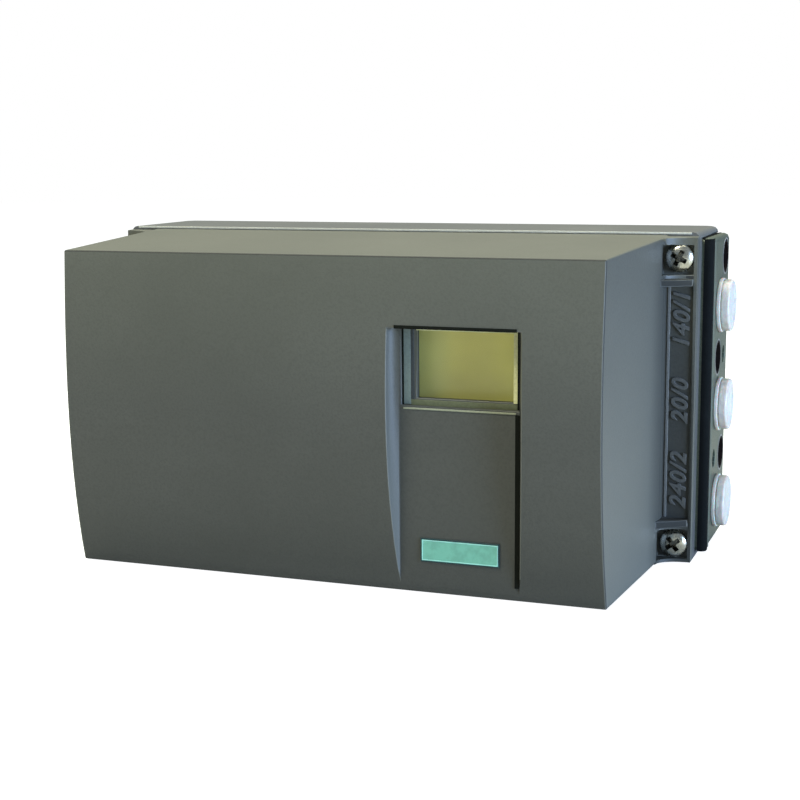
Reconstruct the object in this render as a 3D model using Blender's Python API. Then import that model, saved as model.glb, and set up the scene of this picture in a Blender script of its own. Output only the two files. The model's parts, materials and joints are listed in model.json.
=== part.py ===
"""Electropneumatic valve positioner, modelled as the pieces it comes apart into.

Sizes are in metres. X runs to the right seen from the front, Y to the rear and Z up.
The origin is the centre of the rear mounting face.
"""
import math

import bmesh
import bpy
from mathutils import Vector

# Case
CASE_WIDTH = 0.182
CASE_HEIGHT = 0.095
CASE_DEPTH = 0.098
REAR_DEPTH = 0.038
CASE_WALL = 0.0035
REAR_WALL = 0.004
REAR_CORNER = 0.005
TOP_ROUND = 0.0018

# Clearances: between pieces that seat in each other, and round pieces that turn or slide
FIT = 0.0003
RUNNING = 0.0002
OVERRUN = 0.001

# Sides of round pieces
ROUND_LARGE = 20
ROUND = 14
ROUND_SMALL = 10

# Cover: the front bulges as a cubic curve down its height
COVER_FRONT_INSET = 0.0128
COVER_REAR_INSET = 0.00815
COVER_FRONT_DROP = 0.004
COVER_WALL = 0.0035
COVER_EDGE = 0.0012
BELLY_LEAD = 0.00826
BELLY_BEND = 0.00551
BELLY_TUCK = 0.00692
BELLY_STEPS = 14

# Cover flange with its concave fillet, screw pockets and marking panel
FLANGE_RIM = 0.0009
FLANGE_EDGE = 0.003
FLANGE_FILLET = 0.0054
FILLET_STEPS = 6
POCKET_FLOOR = 0.0016
POCKET_WIDTH = 0.0089
POCKET_HEIGHT = 0.0088
PANEL_DEPTH = 0.0006
PANEL_WIDTH = 0.0076
RIB_THICKNESS = 0.002
RIB_FOOT = 0.0015
RIB_TIP = 0.0015
RIB_GAP = 0.0012

# Cover screws
COVER_SCREW_INSET = 0.005
COVER_SCREW_LOW = 0.00535
COVER_SCREW_DROP = 0.007
COVER_SCREW_HEAD = 0.0038
COVER_SCREW_HEAD_HEIGHT = 0.0026
COVER_SCREW_SHANK = 0.0018
COVER_SCREW_GRIP = 0.0028
COVER_SCREW_RECESS = 0.0014

# Recess of the cover, with the window and the bare plate, from the case's right and top
RECESS_MARGIN = 0.0358
RECESS_WIDTH = 0.0336
RECESS_DROP = 0.0223
RECESS_SETBACK = 0.0036
RECESS_DRAFT = 0.32
RECESS_WALL = 0.003
WINDOW_MARGIN_LEFT = 0.0044
WINDOW_MARGIN_RIGHT = 0.0005
WINDOW_MARGIN_TOP = 0.0004
WINDOW_HEIGHT = 0.019
WINDOW_SILL = 0.0019
WINDOW_STEP = 0.0018
WINDOW_FRAME = 0.0015
PANE_THICKNESS = 0.002
PANE_LAP = 0.0016
SEAL_THICKNESS = 0.0006
PLATE_MARGIN = 0.0063
PLATE_WIDTH = 0.0214
PLATE_LOW = 0.0093
PLATE_HEIGHT = 0.0057
PLATE_THICKNESS = 0.0004

# Gasket between cover and case
GASKET_WIDTH = 0.0015
GASKET_DEPTH = 0.0012
CASE_RIM = 0.0042

# Terminal block in its pocket on the right; its holes are placed from its middle
BLOCK_PROUD = 0.003
BLOCK_THICKNESS = 0.0205
BLOCK_LENGTH = 0.032
BLOCK_REAR = 0.0015
BLOCK_LOW = 0.0015
BLOCK_DROP = 0.002
BLOCK_GASKET = 0.001
BLOCK_CORNER = 0.0015
PORT_PITCH = 0.0295
PORT_RADIUS = 0.0062
PORT_DEPTH = 0.014
PORT_REAR = 0.017
PORT_OFFSET = -0.00415
AIR_HOLE = 0.0025
SOCKET_RADIUS = 0.0046
SOCKET_DEPTH = 0.010
SOCKETS = ((0.0090, 0.03925), (0.0189, 0.01005), (0.0092, -0.02045))
BLOCK_SCREW_RADIUS = 0.0028
BLOCK_SCREW_SEAT = 0.011
BLOCK_SCREWS = ((0.0082, 0.00965), (0.0215, -0.01995))
BLOCK_SCREW_SHANK = 0.0015

# Port plugs
PLUG_RADIUS = 0.0080
PLUG_HEAD = 0.0038
PLUG_STEM = 0.0100
PLUG_WALL = 0.0015
PLUG_ROUND = 0.0008

# Feedback shaft, its bearing and the gear train
SHAFT_MARGIN = 0.033
SHAFT_Z = 0.0
SHAFT_RADIUS = 0.004
SHAFT_LENGTH_OUT = 0.015
SHAFT_FLAT = 0.001
SHAFT_FLAT_LENGTH = 0.012
SHAFT_BOSS = 0.006
SHAFT_BOSS_RADIUS = 0.011
BUSH_WALL = 0.002
BUSH_FLANGE = 0.001
BUSH_FLANGE_RADIUS = 0.008
SHAFT_SEAL_RADIUS = 0.0074
SHAFT_SEAL_DEPTH = 0.0025
CIRCLIP_THICKNESS = 0.0008
CIRCLIP_RADIUS = 0.0062
GEAR_MODULE = 0.0009
GEAR_TEETH = 48
PINION_TEETH = 16
GEAR_FACE = 0.005
GEAR_HUB = 0.0028
GEAR_HUB_RADIUS = 0.007
GEAR_HOLE = 0.0034
PRESSURE_ANGLE = math.radians(20)
ADDENDUM = 0.8
DEDENDUM = 1.15
BACKLASH = 0.0002
CLUTCH_RADIUS = 0.009
CLUTCH_THICKNESS = 0.0035
CLUTCH_GRIPS = 18
CLUTCH_GROOVE = 0.0006
SPINDLE_RADIUS = 0.003
BRACKET_THICKNESS = 0.002
BRACKET_CORNER = 0.002
BRACKET_GAP = 0.006
BRACKET_HALF_WIDTH = 0.024
BRACKET_HALF_HEIGHT = 0.012
BRACKET_POST = 0.003
BRACKET_POST_X = 0.0195
BRACKET_POST_Z = 0.007
POT_RADIUS = 0.010
POT_DEPTH = 0.008
TAG_WIDTH = 0.0016
TAG_SETBACK = 0.002
TAG_THICKNESS = 0.0008
TAG_LENGTH = 0.003

# Tapped holes of the rear mounting pattern, centred on the shaft
MOUNT_SPACING_X = 0.050
MOUNT_SPACING_Z = 0.025
MOUNT_HOLE = 0.0025
MOUNT_HOLE_DEPTH = 0.008
MOUNT_BOSS = 0.0055

# Air manifold with pilot valves, restrictors and the purge selector
MANIFOLD_WIDTH = 0.020
MANIFOLD_DEPTH = 0.027
MANIFOLD_RISE = 0.0083
MANIFOLD_DROP = 0.0095
MANIFOLD_EAR = 0.0042
MANIFOLD_EAR_THICKNESS = 0.004
PILOT_WIDTH = 0.016
PILOT_HEIGHT = 0.019
PILOT_DEPTH = 0.0118
PILOT_COIL = 0.0065
PILOT_DROPS = (0.014, 0.040)
RESTRICTOR_RISES = (0.0207, 0.0127)
RESTRICTOR_HEAD = 0.0034
RESTRICTOR_HEAD_HEIGHT = 0.0026
RESTRICTOR_SHANK = 0.002
RESTRICTOR_LENGTH = 0.008
PURGE_RISE = 0.004
PURGE_TRAVEL = 0.004
PURGE_LENGTH = 0.006
PURGE_WIDTH = 0.004
PURGE_TONGUE = 0.0018
PURGE_KNOB = 0.003

# Electronics module with display and keys
MODULE_SETBACK = 0.014
MODULE_REACH_LEFT = 0.0396
MODULE_REACH_RIGHT = 0.0068
MODULE_RISE = 0.0135
MODULE_DROP = 0.0145
MODULE_WALL = 0.002
MODULE_EAR = 0.009
BOARD_LEAD = 0.008
BOARD_THICKNESS = 0.0016
POST_RADIUS = 0.0025
POST_MARGIN_LEFT = 0.006
POST_MARGIN_RIGHT = 0.018
POST_DROP = 0.0095
POST_SCREW = 0.0014
SMALL_HEAD = 0.0024
SMALL_HEAD_HEIGHT = 0.0016
SMALL_LENGTH = 0.008
DISPLAY_MARGIN = 0.0035
DISPLAY_FRAME = 0.003
DISPLAY_DEPTH = 0.0024
DISPLAY_GLASS = 0.0018
KEY_SPACING = 0.012
KEY_RISE = 0.020
KEY_RADIUS = 0.003
KEY_PROUD = 0.0032
KEY_FLANGE = 0.0045
KEY_FLANGE_THICKNESS = 0.001
KEY_TRAVEL = 0.0012
KEY_BOARD_MARGIN = 0.008

# Wiring terminals
STRIP_INSET = 0.025
STRIP_WAYS = 6
STRIP_PITCH = 0.006
STRIP_LOW = -0.014
STRIP_HEIGHT = 0.012
STRIP_DEPTH = 0.013
WIRE_HOLE = 0.0017
TERMINAL_MARGIN = 0.0055
TERMINAL_POST = 0.0125
TERMINAL_SCREW = 0.0016

# Left side: two blanked cable entries, the silencer and the earth screw
ENTRY_REAR = 0.018
ENTRY_SPACING = 0.040
ENTRY_RADIUS = 0.010
ENTRY_BOSS = 0.0135
ENTRY_BOSS_DEPTH = 0.005
ENTRY_HEAD = 0.0125
ENTRY_HEAD_THICKNESS = 0.0035
ENTRY_SEAL = 0.0012
ENTRY_SEAL_WIDTH = 0.0018
SILENCER_RADIUS = 0.005
SILENCER_HEAD = 0.0062
SILENCER_HEAD_THICKNESS = 0.001
EARTH_RISE = 0.0095
EARTH_BOSS = 0.0045
EARTH_BOSS_DEPTH = 0.004
EARTH_HEAD = 0.0035
EARTH_HEAD_HEIGHT = 0.0024
EARTH_SHANK = 0.0018
EARTH_LENGTH = 0.006

# Places that follow from the sizes above
HALF_WIDTH = CASE_WIDTH / 2
TOP = CASE_HEIGHT / 2
BOTTOM = -TOP
FRONT = -CASE_DEPTH
PARTING = -REAR_DEPTH
COVER_FRONT_HEIGHT = CASE_HEIGHT - COVER_FRONT_DROP
COVER_REAR_HALF = HALF_WIDTH - COVER_REAR_INSET
COVER_SCREW_X = HALF_WIDTH - COVER_SCREW_INSET
COVER_SCREW_HEIGHTS = (BOTTOM + COVER_SCREW_LOW, TOP - COVER_SCREW_DROP)
WALL_INSIDE = -REAR_WALL
RECESS_FLOOR = FRONT + RECESS_SETBACK
RECESS_RIGHT = HALF_WIDTH - RECESS_MARGIN
RECESS_LEFT = RECESS_RIGHT - RECESS_WIDTH
RECESS_TOP = TOP - RECESS_DROP
WINDOW_LEFT = RECESS_LEFT + WINDOW_MARGIN_LEFT
WINDOW_RIGHT = RECESS_RIGHT - WINDOW_MARGIN_RIGHT
WINDOW_HIGH = RECESS_TOP - WINDOW_MARGIN_TOP
WINDOW_LOW = WINDOW_HIGH - WINDOW_HEIGHT
PLATE_LEFT = RECESS_LEFT + PLATE_MARGIN
RIDGE = PARTING - FLANGE_EDGE
SCREW_SEAT = PARTING - POCKET_FLOOR
BLOCK_FACE = HALF_WIDTH + BLOCK_PROUD
BLOCK_INSIDE = BLOCK_FACE - BLOCK_THICKNESS
BLOCK_SPAN = (BOTTOM + BLOCK_LOW, TOP - BLOCK_DROP)
BLOCK_MIDDLE = sum(BLOCK_SPAN) / 2
POCKET_WALL = BLOCK_INSIDE - BLOCK_GASKET
CAVITY_RIGHT = POCKET_WALL - CASE_WALL
MOUTH_LEFT = -COVER_REAR_HALF + COVER_WALL
PORT_Y = -PORT_REAR
PORT_HEIGHTS = tuple(BLOCK_MIDDLE + PORT_OFFSET + PORT_PITCH * step for step in (1, 0, -1))
BOSS_FRONT = WALL_INSIDE - SHAFT_BOSS
BUSH_FRONT = BOSS_FRONT - BUSH_FLANGE
CIRCLIP_FRONT = BUSH_FRONT - RUNNING - CIRCLIP_THICKNESS
HUB_REAR = CIRCLIP_FRONT - RUNNING
GEAR_REAR = HUB_REAR - GEAR_HUB
GEAR_FRONT = GEAR_REAR - GEAR_FACE
GEAR_CENTRES = GEAR_MODULE * (GEAR_TEETH + PINION_TEETH) / 2
PINION_Z = SHAFT_Z + GEAR_CENTRES
BRACKET_REAR = GEAR_FRONT - BRACKET_GAP
BRACKET_FRONT = BRACKET_REAR - BRACKET_THICKNESS
MANIFOLD_FRONT = WALL_INSIDE - MANIFOLD_DEPTH
MANIFOLD_LEFT = CAVITY_RIGHT - MANIFOLD_WIDTH
MANIFOLD_MIDDLE = CAVITY_RIGHT - MANIFOLD_WIDTH / 2
MANIFOLD_LOW = BOTTOM + MANIFOLD_RISE
MANIFOLD_HIGH = TOP - MANIFOLD_DROP
PILOT_CENTRES = tuple(MANIFOLD_HIGH - drop for drop in PILOT_DROPS)
RESTRICTOR_CENTRES = tuple(MANIFOLD_LOW + rise for rise in RESTRICTOR_RISES)
PURGE_Z = MANIFOLD_LOW + PURGE_RISE
SHAFT_X = MANIFOLD_LEFT - SHAFT_MARGIN
MODULE_FRONT = FRONT + MODULE_SETBACK
MODULE_INSIDE = MODULE_FRONT + MODULE_WALL
MODULE_LEFT = RECESS_LEFT - MODULE_REACH_LEFT
MODULE_RIGHT = RECESS_RIGHT + MODULE_REACH_RIGHT
MODULE_LOW = BOTTOM + MODULE_RISE
MODULE_HIGH = TOP - MODULE_DROP
POST_LEFT = MODULE_LEFT + POST_MARGIN_LEFT
POST_RIGHT = MODULE_RIGHT - POST_MARGIN_RIGHT
POST_Z = TOP - POST_DROP
BOARD_REAR = PARTING - BOARD_LEAD
BOARD_FRONT = BOARD_REAR - BOARD_THICKNESS
KEY_X = (RECESS_LEFT + RECESS_RIGHT) / 2
KEY_Z = MODULE_LOW + KEY_RISE
KEY_BOARD_FRONT = MODULE_INSIDE + RUNNING + KEY_FLANGE_THICKNESS + KEY_TRAVEL + RUNNING
STRIP_LEFT = -HALF_WIDTH + STRIP_INSET
STRIP_RIGHT = STRIP_LEFT + STRIP_WAYS * STRIP_PITCH
TERMINAL_REAR = WALL_INSIDE - TERMINAL_POST
TERMINAL_FRONT = TERMINAL_REAR - BOARD_THICKNESS
ENTRY_HEIGHTS = (ENTRY_SPACING / 2, -ENTRY_SPACING / 2)
EARTH_Z = BOTTOM + EARTH_RISE


def clear_scene():
    for item in list(bpy.data.objects):
        bpy.data.objects.remove(item, do_unlink=True)


def at(axis, across, second, along):
    """A point from two coordinates across an axis and its place along it."""
    if axis == "X":
        return Vector((along, across, second))
    if axis == "Y":
        return Vector((across, along, second))
    return Vector((across, second, along))


def make_object(name, bm):
    bmesh.ops.recalc_face_normals(bm, faces=bm.faces)
    mesh = bpy.data.meshes.new(name)
    bm.to_mesh(mesh)
    bm.free()
    item = bpy.data.objects.new(name, mesh)
    bpy.context.collection.objects.link(item)
    return item


def loft(name, rings, closed=False):
    """Skin equal rings of points; the ends are capped, or joined for a ring-shaped piece."""
    bm = bmesh.new()
    loops = [[bm.verts.new(point) for point in ring] for ring in rings]
    count = len(rings[0])
    pairs = list(zip(loops, loops[1:]))
    if closed:
        pairs.append((loops[-1], loops[0]))
    for first, second in pairs:
        for index in range(count):
            after = (index + 1) % count
            bm.faces.new((first[index], first[after], second[after], second[index]))
    if not closed:
        bm.faces.new(loops[0])
        bm.faces.new(loops[-1])
    return make_object(name, bm)


def prism(name, axis, outline, start, end):
    """Extrude a flat outline along an axis."""
    rings = [[at(axis, u, v, along) for u, v in outline] for along in (start, end)]
    return loft(name, rings)


def box(name, x, y, z):
    return prism(name, "Z", [(x[0], y[0]), (x[1], y[0]), (x[1], y[1]), (x[0], y[1])], *z)


def circle(radius, segments, centre=(0, 0), phase=0):
    steps = [phase + math.tau * step / segments for step in range(segments)]
    return [(centre[0] + radius * math.cos(a), centre[1] + radius * math.sin(a)) for a in steps]


def rod(name, axis, centre, radius, start, end, segments=ROUND):
    return prism(name, axis, circle(radius, segments, centre), start, end)


def turned(name, axis, centre, profile, segments=ROUND, closed=False):
    """Turn a profile of (radius, place along the axis) points."""
    rings = []
    for radius, along in profile:
        rings.append([at(axis, u, v, along) for u, v in circle(radius, segments, centre)])
    return loft(name, rings, closed)


def ring(name, axis, centre, inner, outer, start, end, segments=ROUND_LARGE):
    profile = [(outer, start), (outer, end), (inner, end), (inner, start)]
    return turned(name, axis, centre, profile, segments, closed=True)


def bake(item):
    """Turn what the modifiers make into the object's own mesh."""
    graph = bpy.context.evaluated_depsgraph_get()
    mesh = bpy.data.meshes.new_from_object(item.evaluated_get(graph))
    item.modifiers.clear()
    item.data = mesh
    mesh.name = item.name


def combine(item, tools, operation):
    for tool in tools:
        modifier = item.modifiers.new(operation.lower(), "BOOLEAN")
        modifier.operation = operation
        modifier.solver = "EXACT"
        modifier.object = tool
        bake(item)
        bpy.data.objects.remove(tool, do_unlink=True)
    return item


def cut(item, *tools):
    return combine(item, tools, "DIFFERENCE")


def join(item, *tools):
    return combine(item, tools, "UNION")


def bevel(item, width, segments=2, angle=40):
    modifier = item.modifiers.new("bevel", "BEVEL")
    modifier.width = width
    modifier.segments = segments
    modifier.limit_method = "ANGLE"
    modifier.angle_limit = math.radians(angle)
    bake(item)
    return item


def finish(item, material, frame, pivot=(0, 0, 0)):
    """Give a piece its material and shading, and hang it on its frame by its own pivot."""
    pivot = Vector(pivot)
    item.data.materials.clear()
    item.data.materials.append(material)
    for vertex in item.data.vertices:
        vertex.co -= pivot
    item.data.shade_smooth()
    item.data.set_sharp_from_angle(angle=math.radians(35))
    item.parent = frame
    item.location = pivot - frame.location
    return item


def make_frame(name, place=(0, 0, 0)):
    frame = bpy.data.objects.new(name, None)
    frame.location = place
    bpy.context.collection.objects.link(frame)
    return frame


def make_material(name, colour, roughness, metallic=0.0):
    material = bpy.data.materials.new(name)
    material.use_nodes = True
    shader = material.node_tree.nodes["Principled BSDF"]
    shader.inputs["Base Color"].default_value = (*colour, 1)
    shader.inputs["Roughness"].default_value = roughness
    shader.inputs["Metallic"].default_value = metallic
    material.diffuse_color = (*colour, 1)
    return material


def screw(name, axis, centre, seat, head, height, shank, length, facing=-1,
          segments=ROUND_SMALL):
    """A pan-head screw whose head stands off its seat in the facing direction."""
    profile = [
        (shank, seat - facing * length),
        (shank, seat),
        (head, seat),
        (head, seat + facing * height * 0.45),
        (head * 0.82, seat + facing * height * 0.8),
        (head * 0.45, seat + facing * height),
    ]
    return turned(name, axis, centre, profile, segments)


def small_screw(name, centre, seat):
    return screw(name, "Y", centre, seat, SMALL_HEAD, SMALL_HEAD_HEIGHT, POST_SCREW, SMALL_LENGTH)


def cross_recess(centre, top, size, depth):
    """Two crossed bars that cut a driver's recess into a head facing the front."""
    x, z = centre
    arm, half = size, size * 0.24
    across = box("across", (x - arm, x + arm), (top - OVERRUN, top + depth), (z - half, z + half))
    upright = box("upright", (x - half, x + half), (top - OVERRUN, top + depth), (z - arm, z + arm))
    return join(across, upright)


# Cover


def cover_half_width(y):
    share = (y - FRONT) / (PARTING - FRONT)
    return HALF_WIDTH - COVER_FRONT_INSET - (COVER_REAR_INSET - COVER_FRONT_INSET) * share


def cover_top(y):
    share = (y - FRONT) / (PARTING - FRONT)
    return TOP - COVER_FRONT_DROP * (1 - share)


def belly(z):
    """The front face's place at a height: it bulges, then tucks back at the foot."""
    drop = (TOP - COVER_FRONT_DROP - z) / COVER_FRONT_HEIGHT
    return FRONT - BELLY_LEAD * drop + BELLY_BEND * drop ** 2 + BELLY_TUCK * drop ** 3


def cover_body(name, inset, past_parting):
    """The cover's outer or inner form: its side profile, widened towards the rear."""
    low = BOTTOM + inset
    high = cover_top(FRONT + inset) - inset
    rear = PARTING + past_parting
    profile = []
    for step in range(BELLY_STEPS + 1):
        z = high + (low - high) * step / BELLY_STEPS
        profile.append((belly(z) + inset, z))
    profile.append((rear, low))
    profile.append((rear, cover_top(rear) - inset))
    sides = []
    for side in (-1, 1):
        sides.append([Vector((side * (cover_half_width(y) - inset), y, z)) for y, z in profile])
    return loft(name, sides)


def flange_wing(side):
    """The ear beside the cover: a concave fillet that runs out into a narrow rim."""
    start = RIDGE - FLANGE_FILLET
    inner = cover_half_width(start) - FIT
    rim = HALF_WIDTH - FLANGE_RIM
    outline = [(cover_half_width(PARTING) - COVER_WALL / 2, PARTING)]
    outline.append((inner - COVER_WALL / 2, start))
    for step in range(FILLET_STEPS + 1):
        turn = math.pi / 2 * step / FILLET_STEPS
        x = rim - (rim - inner) * math.cos(turn)
        outline.append((x, start + FLANGE_FILLET * math.sin(turn)))
    outline.append((HALF_WIDTH, RIDGE))
    outline.append((HALF_WIDTH, PARTING))
    low = [Vector((side * x, y, BOTTOM)) for x, y in outline]
    high = [Vector((side * x, y, cover_top(y) - FIT)) for x, y in outline]
    return loft("wing", [low, high])


def flange_cuts(side):
    """Screw pockets, screw holes and the sunk marking panel of one ear."""
    rim = HALF_WIDTH - FLANGE_RIM
    x = side * COVER_SCREW_X
    pocket = sorted((side * (rim - POCKET_WIDTH), side * rim))
    panel = sorted((side * (rim - PANEL_WIDTH), side * rim))
    tools = []
    for z in COVER_SCREW_HEIGHTS:
        span = (z - POCKET_HEIGHT / 2, z + POCKET_HEIGHT / 2)
        tools.append(box("pocket", pocket, (RIDGE - FLANGE_FILLET, SCREW_SEAT), span))
        hole = COVER_SCREW_SHANK + FIT
        tools.append(rod("hole", "Y", (x, z), hole, RIDGE - OVERRUN, PARTING + OVERRUN))
    low, high = panel_span()
    tools.append(box("panel", panel, (RIDGE - FLANGE_FILLET, RIDGE + PANEL_DEPTH), (low, high)))
    return tools


def panel_span():
    """Lower and upper end of the marking panel, between the two ribs."""
    reach = POCKET_HEIGHT / 2 + RIB_GAP + RIB_THICKNESS
    low, high = COVER_SCREW_HEIGHTS
    return low + reach, high - reach


def flange_ribs(side):
    """Ribs across the fillet that close off the marking panel."""
    rim = HALF_WIDTH - FLANGE_RIM
    foot = RIDGE - FLANGE_FILLET - RIB_FOOT
    wall = cover_half_width(foot) - FIT
    outline = [(wall - COVER_WALL / 2, foot), (wall, foot), (rim, RIDGE - RIB_TIP),
               (rim, PARTING - OVERRUN), (wall - COVER_WALL / 2, PARTING - OVERRUN)]
    outline = [(side * x, y) for x, y in outline]
    low, high = panel_span()
    return [prism("rib", "Z", outline, z, z + RIB_THICKNESS) for z in (low - RIB_THICKNESS, high)]


def recess_cut():
    """The drafted recess that holds the window and the bare plate."""
    rings = []
    for y in (RECESS_FLOOR, FRONT - BELLY_LEAD):
        spread = (RECESS_FLOOR - y) * RECESS_DRAFT
        left, right = RECESS_LEFT - spread, RECESS_RIGHT + spread
        low, high = BOTTOM - OVERRUN, RECESS_TOP
        corners = [(left, low), (right, low), (right, high), (left, high)]
        rings.append([Vector((x, y, z)) for x, z in corners])
    return loft("recess", rings)


def window_depths():
    """The planes of the window: its step, the frame's back, the seal's back, the pane's back."""
    step = RECESS_FLOOR + WINDOW_STEP
    frame = step + WINDOW_FRAME
    seal = frame + SEAL_THICKNESS
    return step, frame, seal, seal + PANE_THICKNESS


def window_cuts():
    step, frame, _, back = window_depths()
    low, high = WINDOW_LOW, WINDOW_HIGH
    sill = (low - WINDOW_SILL, RECESS_TOP - FIT)
    lap = PANE_LAP + FIT
    shelf = box("shelf", (RECESS_LEFT + FIT, RECESS_RIGHT - FIT), (FRONT, step), sill)
    opening = box("opening", (WINDOW_LEFT, WINDOW_RIGHT), (FRONT, back + OVERRUN), (low, high))
    seat = box("seat", (WINDOW_LEFT - lap, WINDOW_RIGHT + lap), (frame, back + WINDOW_FRAME),
               (low - lap, high + lap))
    return [shelf, opening, seat]


def cover_cavity():
    """The cover's hollow, kept off the back of the recess and of the window frame."""
    cavity = cover_body("cavity", COVER_WALL, OVERRUN)
    _, _, _, back = window_depths()
    margin = RECESS_WALL + (RECESS_FLOOR - FRONT) * RECESS_DRAFT
    sides = (RECESS_LEFT - margin, RECESS_RIGHT + margin)
    floor = box("floor", sides, (FRONT - OVERRUN, RECESS_FLOOR + RECESS_WALL),
                (BOTTOM - OVERRUN, RECESS_TOP + RECESS_WALL))
    frame = box("frame", sides, (FRONT - OVERRUN, back + FIT),
                (WINDOW_LOW - PANE_LAP - RECESS_WALL, WINDOW_HIGH + PANE_LAP + RECESS_WALL))
    return cut(cavity, floor, frame)


def front_cover():
    """The belly-fronted hood that closes the case."""
    cover = bevel(cover_body("front_cover", 0, 3 * COVER_EDGE), COVER_EDGE)
    wide, tall = CASE_WIDTH, CASE_HEIGHT
    join(cover, flange_wing(-1), flange_wing(1))
    cut(cover, box("trim", (-wide, wide), (PARTING, PARTING + REAR_DEPTH), (-tall, tall)))
    cut(cover, cover_cavity(), recess_cut(), *window_cuts())
    for side in (-1, 1):
        cut(cover, *flange_cuts(side))
        join(cover, *flange_ribs(side))
    return cover


def window_seal():
    _, frame, seal, _ = window_depths()
    low, high = WINDOW_LOW, WINDOW_HIGH
    outer = box("window_seal", (WINDOW_LEFT - PANE_LAP, WINDOW_RIGHT + PANE_LAP), (frame, seal),
                (low - PANE_LAP, high + PANE_LAP))
    hole = box("hole", (WINDOW_LEFT, WINDOW_RIGHT), (frame - OVERRUN, seal + OVERRUN), (low, high))
    return cut(outer, hole)


def window_pane():
    _, _, seal, back = window_depths()
    return box("window_pane", (WINDOW_LEFT - PANE_LAP, WINDOW_RIGHT + PANE_LAP), (seal, back),
               (WINDOW_LOW - PANE_LAP, WINDOW_HIGH + PANE_LAP))


def bare_plate():
    low = BOTTOM + PLATE_LOW
    return box("bare_plate", (PLATE_LEFT, PLATE_LEFT + PLATE_WIDTH),
               (RECESS_FLOOR - PLATE_THICKNESS, RECESS_FLOOR), (low, low + PLATE_HEIGHT))


def cover_screws():
    screws = []
    length = POCKET_FLOOR + COVER_SCREW_GRIP
    for side in (-1, 1):
        for z in COVER_SCREW_HEIGHTS:
            centre = (side * COVER_SCREW_X, z)
            name = f"cover_screw_{len(screws) + 1}"
            item = screw(name, "Y", centre, SCREW_SEAT, COVER_SCREW_HEAD,
                         COVER_SCREW_HEAD_HEIGHT, COVER_SCREW_SHANK, length, -1, ROUND)
            top = SCREW_SEAT - COVER_SCREW_HEAD_HEIGHT
            recess = cross_recess(centre, top, COVER_SCREW_HEAD * 0.55, COVER_SCREW_RECESS)
            screws.append(cut(item, recess))
    return screws


# Case


def gasket_outline(inset):
    """Half width, bottom and top of the gasket's track, seen from the front."""
    half = COVER_REAR_HALF - COVER_WALL / 2 - inset
    low = BOTTOM + COVER_WALL / 2 + inset
    return (-half, half), (low, -low)


def gasket_ring(name, margin, start, end):
    x, z = gasket_outline(-GASKET_WIDTH / 2 - margin)
    outer = box(name, x, (start, end), z)
    x, z = gasket_outline(GASKET_WIDTH / 2 + margin)
    return cut(outer, box("inner", x, (start - OVERRUN, end + OVERRUN), z))


def case_block():
    """The case's outside: two round rear corners and a soft top edge."""
    outline = [(-HALF_WIDTH, PARTING), (HALF_WIDTH, PARTING)]
    for side, first in ((1, 0), (-1, 90)):
        centre = (side * (HALF_WIDTH - REAR_CORNER), -REAR_CORNER)
        for step in range(6):
            turn = math.radians(first + 18 * step)
            x = centre[0] + REAR_CORNER * math.cos(turn)
            outline.append((x, centre[1] + REAR_CORNER * math.sin(turn)))
    item = prism("rear_housing", "Z", outline, BOTTOM, TOP)
    bm = bmesh.new()
    bm.from_mesh(item.data)
    edges = []
    for edge in bm.edges:
        at_top = all(vertex.co.z > TOP - OVERRUN for vertex in edge.verts)
        at_front = all(vertex.co.y < PARTING + OVERRUN for vertex in edge.verts)
        if at_top and not at_front:
            edges.append(edge)
    bmesh.ops.bevel(bm, geom=edges, offset=TOP_ROUND, segments=3, profile=0.5, affect="EDGES")
    bm.to_mesh(item.data)
    bm.free()
    return item


def case_hollows():
    """The case's cavity, its mouth behind the cover, and the terminal block's pocket."""
    z = (BOTTOM + CASE_WALL, TOP - CASE_WALL)
    rim_rear = PARTING + CASE_RIM
    cavity = box("cavity", (-HALF_WIDTH + CASE_WALL, CAVITY_RIGHT), (rim_rear, WALL_INSIDE), z)
    mouth = box("mouth", (MOUTH_LEFT, CAVITY_RIGHT), (PARTING - OVERRUN, rim_rear + OVERRUN), z)
    low, high = BLOCK_SPAN
    pocket = box("pocket", (POCKET_WALL, HALF_WIDTH + OVERRUN),
                 (-BLOCK_REAR - BLOCK_LENGTH - FIT, -BLOCK_REAR + FIT),
                 (low - FIT, high + FIT))
    return [join(cavity, mouth), pocket]


def mount_centres():
    return [(SHAFT_X + sx * MOUNT_SPACING_X / 2, SHAFT_Z + sz * MOUNT_SPACING_Z / 2)
            for sx in (-1, 1) for sz in (-1, 1)]


def post_centres():
    return [(x, z) for x in (POST_LEFT, POST_RIGHT) for z in (-POST_Z, POST_Z)]


def terminal_centres():
    """Two fixing holes of the terminal board, at opposite corners."""
    margin = TERMINAL_MARGIN / 2
    return [(STRIP_LEFT, STRIP_LOW - margin), (STRIP_RIGHT, STRIP_LOW + STRIP_HEIGHT + margin)]


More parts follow.
